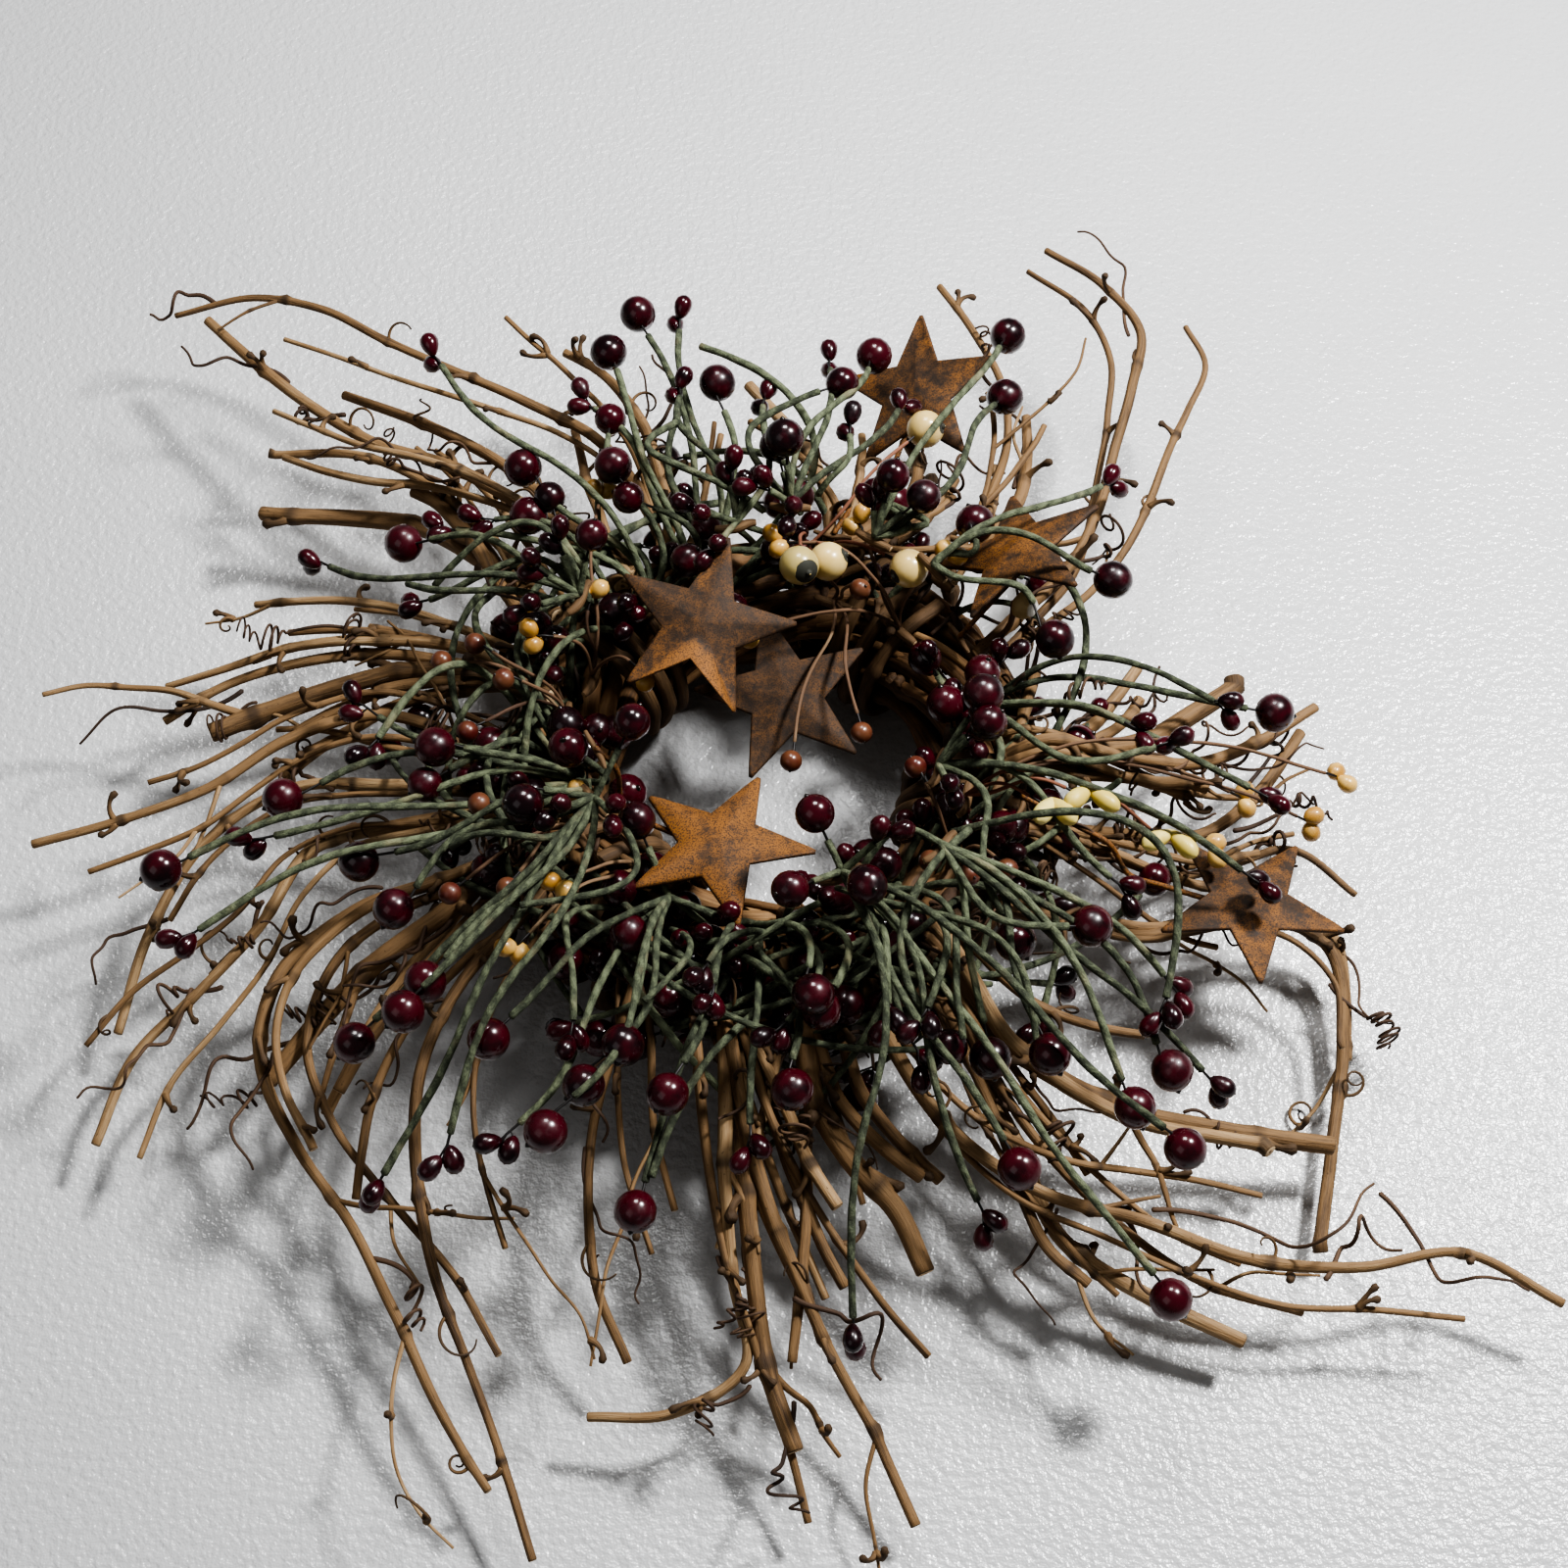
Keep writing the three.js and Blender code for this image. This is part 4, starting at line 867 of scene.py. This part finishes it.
MUSTARD_PAIR = {"apart": 2.2, "stagger": 1.0, "splay": 0.7, "length": 1.15, "taper": -0.12}
SMALL = (
    [(f"hip_spray_{i}", BROWN_STEM, HIP, "brown_hip", "ball") for i in range(1, 5)]
    + [(f"gold_spray_{i}", BROWN_STEM, MUSTARD, "mustard_pip", "pair") for i in range(1, 5)]
    + [("cream_spray", RED_STEM, CREAM, "cream_berry", "chipped")]
    + [("yellow_spray", RED_STEM, YELLOW, "yellow_pip", "pip")]
)
for number, (node, stem_look, skin_look, slot, shape) in enumerate(SMALL):
    rng = random.Random(600 + number)
    strands, foot = trace(node, 5)
    stock = Stock()
    root = bound_foot(stock, foot, 3)
    for line in strands:
        middle, radius, rest = bead_of(line)
        if not rest:
            continue
        _, heading = wrapped_stem(stock, rest, middle, root, rng, 1.5 * MM, girth=0.8, bow=2)
        if shape == "ball":
            ball(stock, middle, heading, radius, rng, 1)
        elif shape == "chipped":
            aim = (rng.uniform(-0.8, 0.8), rng.uniform(-1, 0.3), rng.uniform(0, 0.5))
            ball(stock, middle, aim, radius, rng, 1, nub=rng.uniform(0.2, 0.4))
        elif shape == "pair":
            pip_pair(stock, middle, heading, rng, **MUSTARD_PAIR)
        else:
            for sign in (-1, 1):
                aim = (0.9 * sign + rng.uniform(-0.5, 0.5), -1.0, rng.uniform(-0.1, 0.5))
                spot = np.array(middle) + unit(np.array(aim)) * 4.5 * MM + UP * 4 * MM
                ball(stock, spot, aim, 2.5 * MM, rng, 1, length=2.3, taper=-0.42, nub=0, rings=10, sides=12)
    name = node.replace("hip_spray", "hips").replace("gold_spray", "gold_pips")
    name = name.replace("cream_spray", "cream_berries").replace("yellow_spray", "yellow_pips")
    place_piece(stock, name, [stem_look, skin_look, BLACK_WIRE, WRAP_BARK], slot, node)

# One berry has broken open: a brown stem ends in a cup of cream skin with the white foam showing.
cup = Look("foam_cup", Roughness=0.85)
crumb = cup.noise(cup.place(), 900, 4)
foam = cup.mix(cup.field("mark"), (0.42, 0.3, 0.14), (0.8, 0.78, 0.72))
foam = cup.mix(crumb * 0.4, foam, (0.3, 0.24, 0.14))
CUP = cup.surface(bump=crumb, strength=0.6, depth=0.4, Base_Color=foam)
rng = random.Random(650)
stock = Stock()
start, end = np.array(on_ring(0.55, BUNDLE, 1.0)), np.array(on_ring(0.5, BUNDLE + 22 * MM, 1.1))
t = np.linspace(0, 1, 6)[:, None]
path = start + (end - start) * t + np.array([3, -3, 0]) * MM * np.sin(3.1 * t)
path, width = smooth(path, [0.9 * MM] * 6, 1.5 * MM)
stock.tube(path, width, 8)
aim = np.array([0.7, -0.5, 0.25])
skin = path[-1] + aim * np.linspace(0, 7, 7)[:, None] * MM
lumps = 1 + 0.06 * np.sin(np.arange(14) * 2.1)
wide = np.array([0.8, 2.6, 3.9, 4.3, 4.2, 3.6, 2.9])[:, None] * lumps * MM
stock.tube(skin, wide, 14, slot=1, cut=(False, True), cut_mark=1.0)
place_piece(stock, "broken_berry", [BROWN_STEM, CUP], "cream_berry")

# ---- Stars ----
# Five-pointed stars pressed from thin tin and left to rust, brown with orange bloom. Each is soldered
# to a stiff rusty wire that curls down to the ring.

SHEET = 0.7 * MM
STAR_WIRE = 0.8 * MM
ROWS = (0.15, 0.3, 0.45, 0.6, 0.72, 0.84, 0.93, 0.97, 1)  # shares of the way from the hub to the edge
BLOOM = (0.15, 0.3, 0.46, 0.3, 0.35, 0.05)  # how far each star has gone from brown to orange

rust = Look("rusty_tin", Metallic=0.1)
rust_place = rust.place()
scale = rust.noise(rust_place, 260, 6, 0.7)
grit = rust.noise(rust_place, 2400, 2)
rust_colour = rust.mix(scale.between(0.3, 0.7), (0.024, 0.013, 0.007), (0.125, 0.058, 0.02))
bloom = rust.noise(rust_place, 60, 4, 0.6) * 0.7 + scale * 0.5 + rust.field("tint") * 0.5 - 0.32
rust_colour = rust.mix(bloom.between(0.36, 0.6), rust_colour, (0.24, 0.1, 0.022))
rust_colour = rust.mix(grit.between(0.48, 0.62) * 0.8, rust_colour, (0.02, 0.013, 0.009))
rust_colour = rust.mix(rust.field("mark") * 0.5, rust_colour, (0.07, 0.04, 0.025))
RUST = rust.surface(
    bump=scale * 0.5 + grit * 0.5, strength=0.55, depth=0.25,
    Base_Color=rust_colour, Roughness=0.6 + scale * 0.25,
)


def tin_star(stock, middle, face, tips, rng, bend, tint, folded=None):
    """A star of thin sheet with blunt tips, domed, each arm creased along its middle."""
    x = (tips[0] - middle) - face * (tips[0] - middle).dot(face)
    reach = x.length
    x.normalize()
    y = face.cross(x)
    outline = []
    for arm in range(5):
        angle = arm * 2 * math.pi / 5
        for turn, r in ((-0.1, 0.9), (-0.035, 0.975), (0.035, 0.975), (0.1, 0.9)):
            outline.append((angle + turn * 0.55, r * reach))
        outline.append((angle + math.pi / 5, 0.42 * reach))
    spots, faces, marks, rusts = [], [], [], []
    drop = (middle - sum(tips, Vector()) / 5).dot(face)
    warp = [rng.uniform(-1, 1) for _ in range(5)]
    for share in ROWS:
        for angle, r in outline:
            out = r * share
            arm = math.cos(5 * angle)
            height = -drop * (out / reach) ** 1.2 - bend * MM * (1 - arm) * share * 0.5
            twist = warp[int(round(angle / (2 * math.pi / 5))) % 5]
            height += 1.4 * MM * twist * max(share - 0.45, 0) ** 2 * 3
            if share == 1:
                height -= 0.4 * MM
            # A folded arm is bent up along its middle, and the bend has rusted orange.
            rise = 0.0
            if folded is not None and share > 0.3:
                off = (angle - folded * 2 * math.pi / 5 + math.pi) % (2 * math.pi) - math.pi
                if -0.63 < off < 0.02:
                    rise = (share - 0.3) * min(1.0, (0.02 - off) / 0.1)
            height += 7 * MM * rise
            rusts.append(tint + 1.6 * rise)
            flat = x * (out * math.cos(angle)) + y * (out * math.sin(angle))
            spots.append(middle + flat + face * height)
            marks.append(1.0 if share == 1 else 0.0)
    wide, last = len(outline), len(ROWS) - 1
    for k in range(last):
        for j in range(wide):
            q = (j + 1) % wide
            faces.append((k * wide + j, (k + 1) * wide + j, (k + 1) * wide + q, k * wide + q))
    faces += [(len(spots), j, (j + 1) % wide) for j in range(wide)]
    spots.append(middle)
    marks.append(0.0)
    rusts.append(tint)
    count = len(spots)
    under = [spot - face * SHEET for spot in spots]
    faces += [tuple(count + i for i in reversed(f)) for f in faces]
    for j in range(wide):
        q = (j + 1) % wide
        a, b = last * wide + j, last * wide + q
        faces.append((b, a, count + a, count + b))
    everything = np.array([tuple(s) for s in spots + under])
    stock.add(everything, faces, everything / MM, rusts + rusts, np.array(marks + marks), 0)


for number in range(1, 7):
    node = f"tin_star_{number}"
    rng = random.Random(700 + number)
    _, foot = trace(node, 5)
    stock = Stock()
    root = bound_foot(stock, foot, 1)
    middle, face, tips = star_pose(node)
    tin_star(stock, middle, face, tips, rng, 0.8, BLOOM[number - 1], 1 if number == 1 else None)
    back = middle - face * 1.0 * MM
    wire = []
    for t in np.linspace(0, 1, 9):
        spot = root.lerp(middle - face * 9 * MM, t)
        gap = (spot - middle).dot(face)
        room = 6 * MM * min(1.0, t * 3)
        if (spot - middle).length < 34 * MM and gap > -room:
            spot -= face * (gap + room)
        wire.append(spot)
    path, width = smooth(wire + [middle - face * 4 * MM, back], [STAR_WIRE] * 11, 1.5 * MM)
    stock.tube(path, width, 8)
    place_piece(stock, node.replace("tin_", ""), [RUST, WRAP_BARK], "rusty_tin", node)

# ---- Tendrils ----
# Thin dry tendrils left on the vine: some coil like springs, others end in a loose hook. Scraps of
# dry bark and leaf, curled up along their length, are caught between the stems.

TENDRILS, SCRAPS = 120, 60
SCRAP_SHEET = 0.35 * MM

TENDRIL = bark("tendril", (0.02, 0.011, 0.007), (0.07, 0.038, 0.021), (0.19, 0.115, 0.065))


def tendril(stock, start, heading, length, curls, rng, thick=0.55, coil=4.5):
    """A tendril from start that runs out along heading and ends in a number of curls."""
    heading = Vector(heading).normalized()
    side = heading.cross(Vector((rng.uniform(-0.4, 0.4), rng.uniform(-0.4, 0.4), 1))).normalized()
    up = side.cross(heading)
    points = []
    steps = 14 + int(curls * 14)
    for k in range(steps + 1):
        t = k / steps
        wind = max(t - 0.35, 0) / 0.65
        angle = (wind + 0.06 * math.sin(wind * 11 + coil)) * curls * 2 * math.pi
        size = coil * MM * min(1.0, wind * 3) * (1 - 0.45 * wind)
        size *= 1 + 0.35 * math.sin(wind * 9 + thick * 20)
        sway = 4 * MM * math.sin(t * 5 + curls * 3 + coil)
        out = t if curls < 2 else min(t, 0.35 + 0.5 * (t - 0.35))
        points.append(
            Vector(start) + heading * length * MM * out
            + side * (size * math.sin(angle) + sway) + up * size * (1 - math.cos(angle))
        )
    points = np.clip([tuple(p) for p in points], LOW + MM, HIGH + 5 * MM)
    path, width = smooth(points, [thick * MM * (1 - 0.5 * k / steps) for k in range(steps + 1)], 1.2 * MM)
    stock.tube(path, width, 7, tint=rng.random())


stock = Stock()
for number in range(TENDRILS):
    rng = random.Random(800 + number)
    if number % 3:
        line = CANE_LINES[rng.randrange(len(CANE_LINES))]
        k = int((0.12 + 0.82 * rng.random() ** 1.5) * (len(line) - 4)) + 3
        start = Vector(line[k])
        stray = Vector((rng.uniform(-1, 1), rng.uniform(-1, 1), rng.uniform(-0.3, 0.4)))
        out = Vector(line[k] - line[k - 3]) / (3 * MM) + stray
    else:
        turn = rng.uniform(0, 2 * math.pi)
        roll = rng.uniform(0.2, 2.0)
        start = on_ring(turn, BUNDLE, roll)
        out = Vector((math.cos(turn), math.sin(turn), rng.uniform(0.1, 0.6)))
        out = out + Vector((-math.sin(turn), math.cos(turn), 0)) * rng.uniform(-1.2, 1.2)
    curls = rng.choice((0.4, 0.8, 1.3, 2.5, 4.0, 5.5))
    tendril(stock, start, out, rng.uniform(18, 50), curls, rng, rng.uniform(0.5, 0.85), rng.uniform(2.0, 4.8))
for number in range(SCRAPS):
    rng = random.Random(1300 + number)
    start = on_ring(rng.uniform(0, 2 * math.pi), BUNDLE + rng.uniform(-1, 3) * MM, rng.uniform(0.1, 2.6))
    way = Vector([rng.uniform(-1, 1) for _ in range(3)]).normalized()
    side = way.cross(Vector((0.3, 0.2, 1))).normalized() * rng.uniform(1.2, 2.6) * MM
    lift = way.cross(side)
    t = np.linspace(-1, 1, 6)
    long = rng.uniform(3, 7) * MM
    upper = [
        start + way * long * a + lift * (0.8 * a * a + 0.7 * b * b) + side * b * (1 - 0.7 * a * a)
        for a in t for b in (-1, -0.4, 0.4, 1)
    ]
    upper = np.array([tuple(spot) for spot in upper])
    upper[:, 2] = np.maximum(upper[:, 2], 1 * MM)
    thin = np.array(lift.normalized()) * SCRAP_SHEET
    skin = [(4 * k + j, 4 * k + j + 1, 4 * k + j + 5, 4 * k + j + 4) for k in range(5) for j in range(3)]
    rim = [0, 1, 2, 3, 7, 11, 15, 19, 23, 22, 21, 20, 16, 12, 8, 4]
    sheet = [face[::-1] for face in skin] + [tuple(24 + i for i in face) for face in skin]
    sheet += [(a, b, 24 + b, 24 + a) for a, b in zip(rim, rim[1:] + rim[:1])]
    spots = np.concatenate([upper, upper - thin])
    stock.add(spots, sheet, spots / MM, rng.random(), 0, 0)
rng = random.Random(960)
lowest = min(CANE_LINES, key=lambda line: line[-1][1] - 0.6 * line[-1][0])
start = Vector(lowest[len(lowest) // 2])
for turn, length in ((0.3, 60), (-0.5, 45)):
    out = Vector(lowest[-1] - lowest[len(lowest) // 2]).normalized()
    out.rotate(Euler((0, 0, turn)))
    tendril(stock, start, out, length, 0.7, rng, 0.75, 9)
    start = start + out * length * MM
place_piece(stock, "tendrils", [TENDRIL], "wrap_bark")

# ---- Table, light and camera ----
# A plain white table with a soft light high on the right, as in a studio, and the wreath seen from
# below its bottom edge at sixty degrees.

TABLE = 15.0  # half its width, in metres
DISTANCE, ELEVATION, FIELD = 0.8, math.radians(60), math.radians(31.97)

stock = Stock()
corners = [(-TABLE, -TABLE, 0), (TABLE, -TABLE, 0), (TABLE, TABLE, 0), (-TABLE, TABLE, 0)]
stock.add(corners, [(0, 1, 2, 3)], np.zeros((4, 3)), 0, 0)
white = Look("white_table", Roughness=0.24)
white_place = white.place()
white_colour = white.mix(white.noise(white_place, 9, 3), (0.52, 0.525, 0.53), (0.59, 0.59, 0.59))
pores = white.noise(white_place, 400, 2)
WHITE = white.surface(bump=pores, strength=1.0, depth=0.8, Base_Color=white_colour)
stock.build("table_top", [WHITE])


def area_light(name, place, target, size, power):
    lamp = bpy.data.lights.new(name, "AREA")
    lamp.energy, lamp.size = power, size
    holder = bpy.data.objects.new(name, lamp)
    bpy.context.scene.collection.objects.link(holder)
    holder.location = place
    holder.rotation_euler = (Vector(target) - Vector(place)).to_track_quat("-Z", "Y").to_euler()


area_light("key", (0.53, 0.27, 0.87), RING, 0.13, 14.5)
area_light("fill", (-0.9, -0.8, 1.3), RING, 1.0, 1.8)
area_light("top", (0.03, 0.6, 1.05), RING, 0.3, 6)

world = bpy.data.worlds.new("studio")
world.use_nodes = True
world.node_tree.nodes["Background"].inputs["Color"].default_value = (1, 1, 1, 1)
world.node_tree.nodes["Background"].inputs["Strength"].default_value = 0.13
bpy.context.scene.world = world

target = Vector((RING.x + 4 * MM, RING.y, 20 * MM))
camera = bpy.data.objects.new("camera", bpy.data.cameras.new("camera"))
bpy.context.scene.collection.objects.link(camera)
camera.location = target + Vector((0, -math.cos(ELEVATION), math.sin(ELEVATION))) * DISTANCE
camera.rotation_euler = (target - camera.location).to_track_quat("-Z", "Y").to_euler()
camera.data.angle = FIELD
bpy.context.scene.camera = camera
bpy.context.scene.view_settings.view_transform = "AgX"
bpy.context.scene.view_settings.look = "AgX - High Contrast"
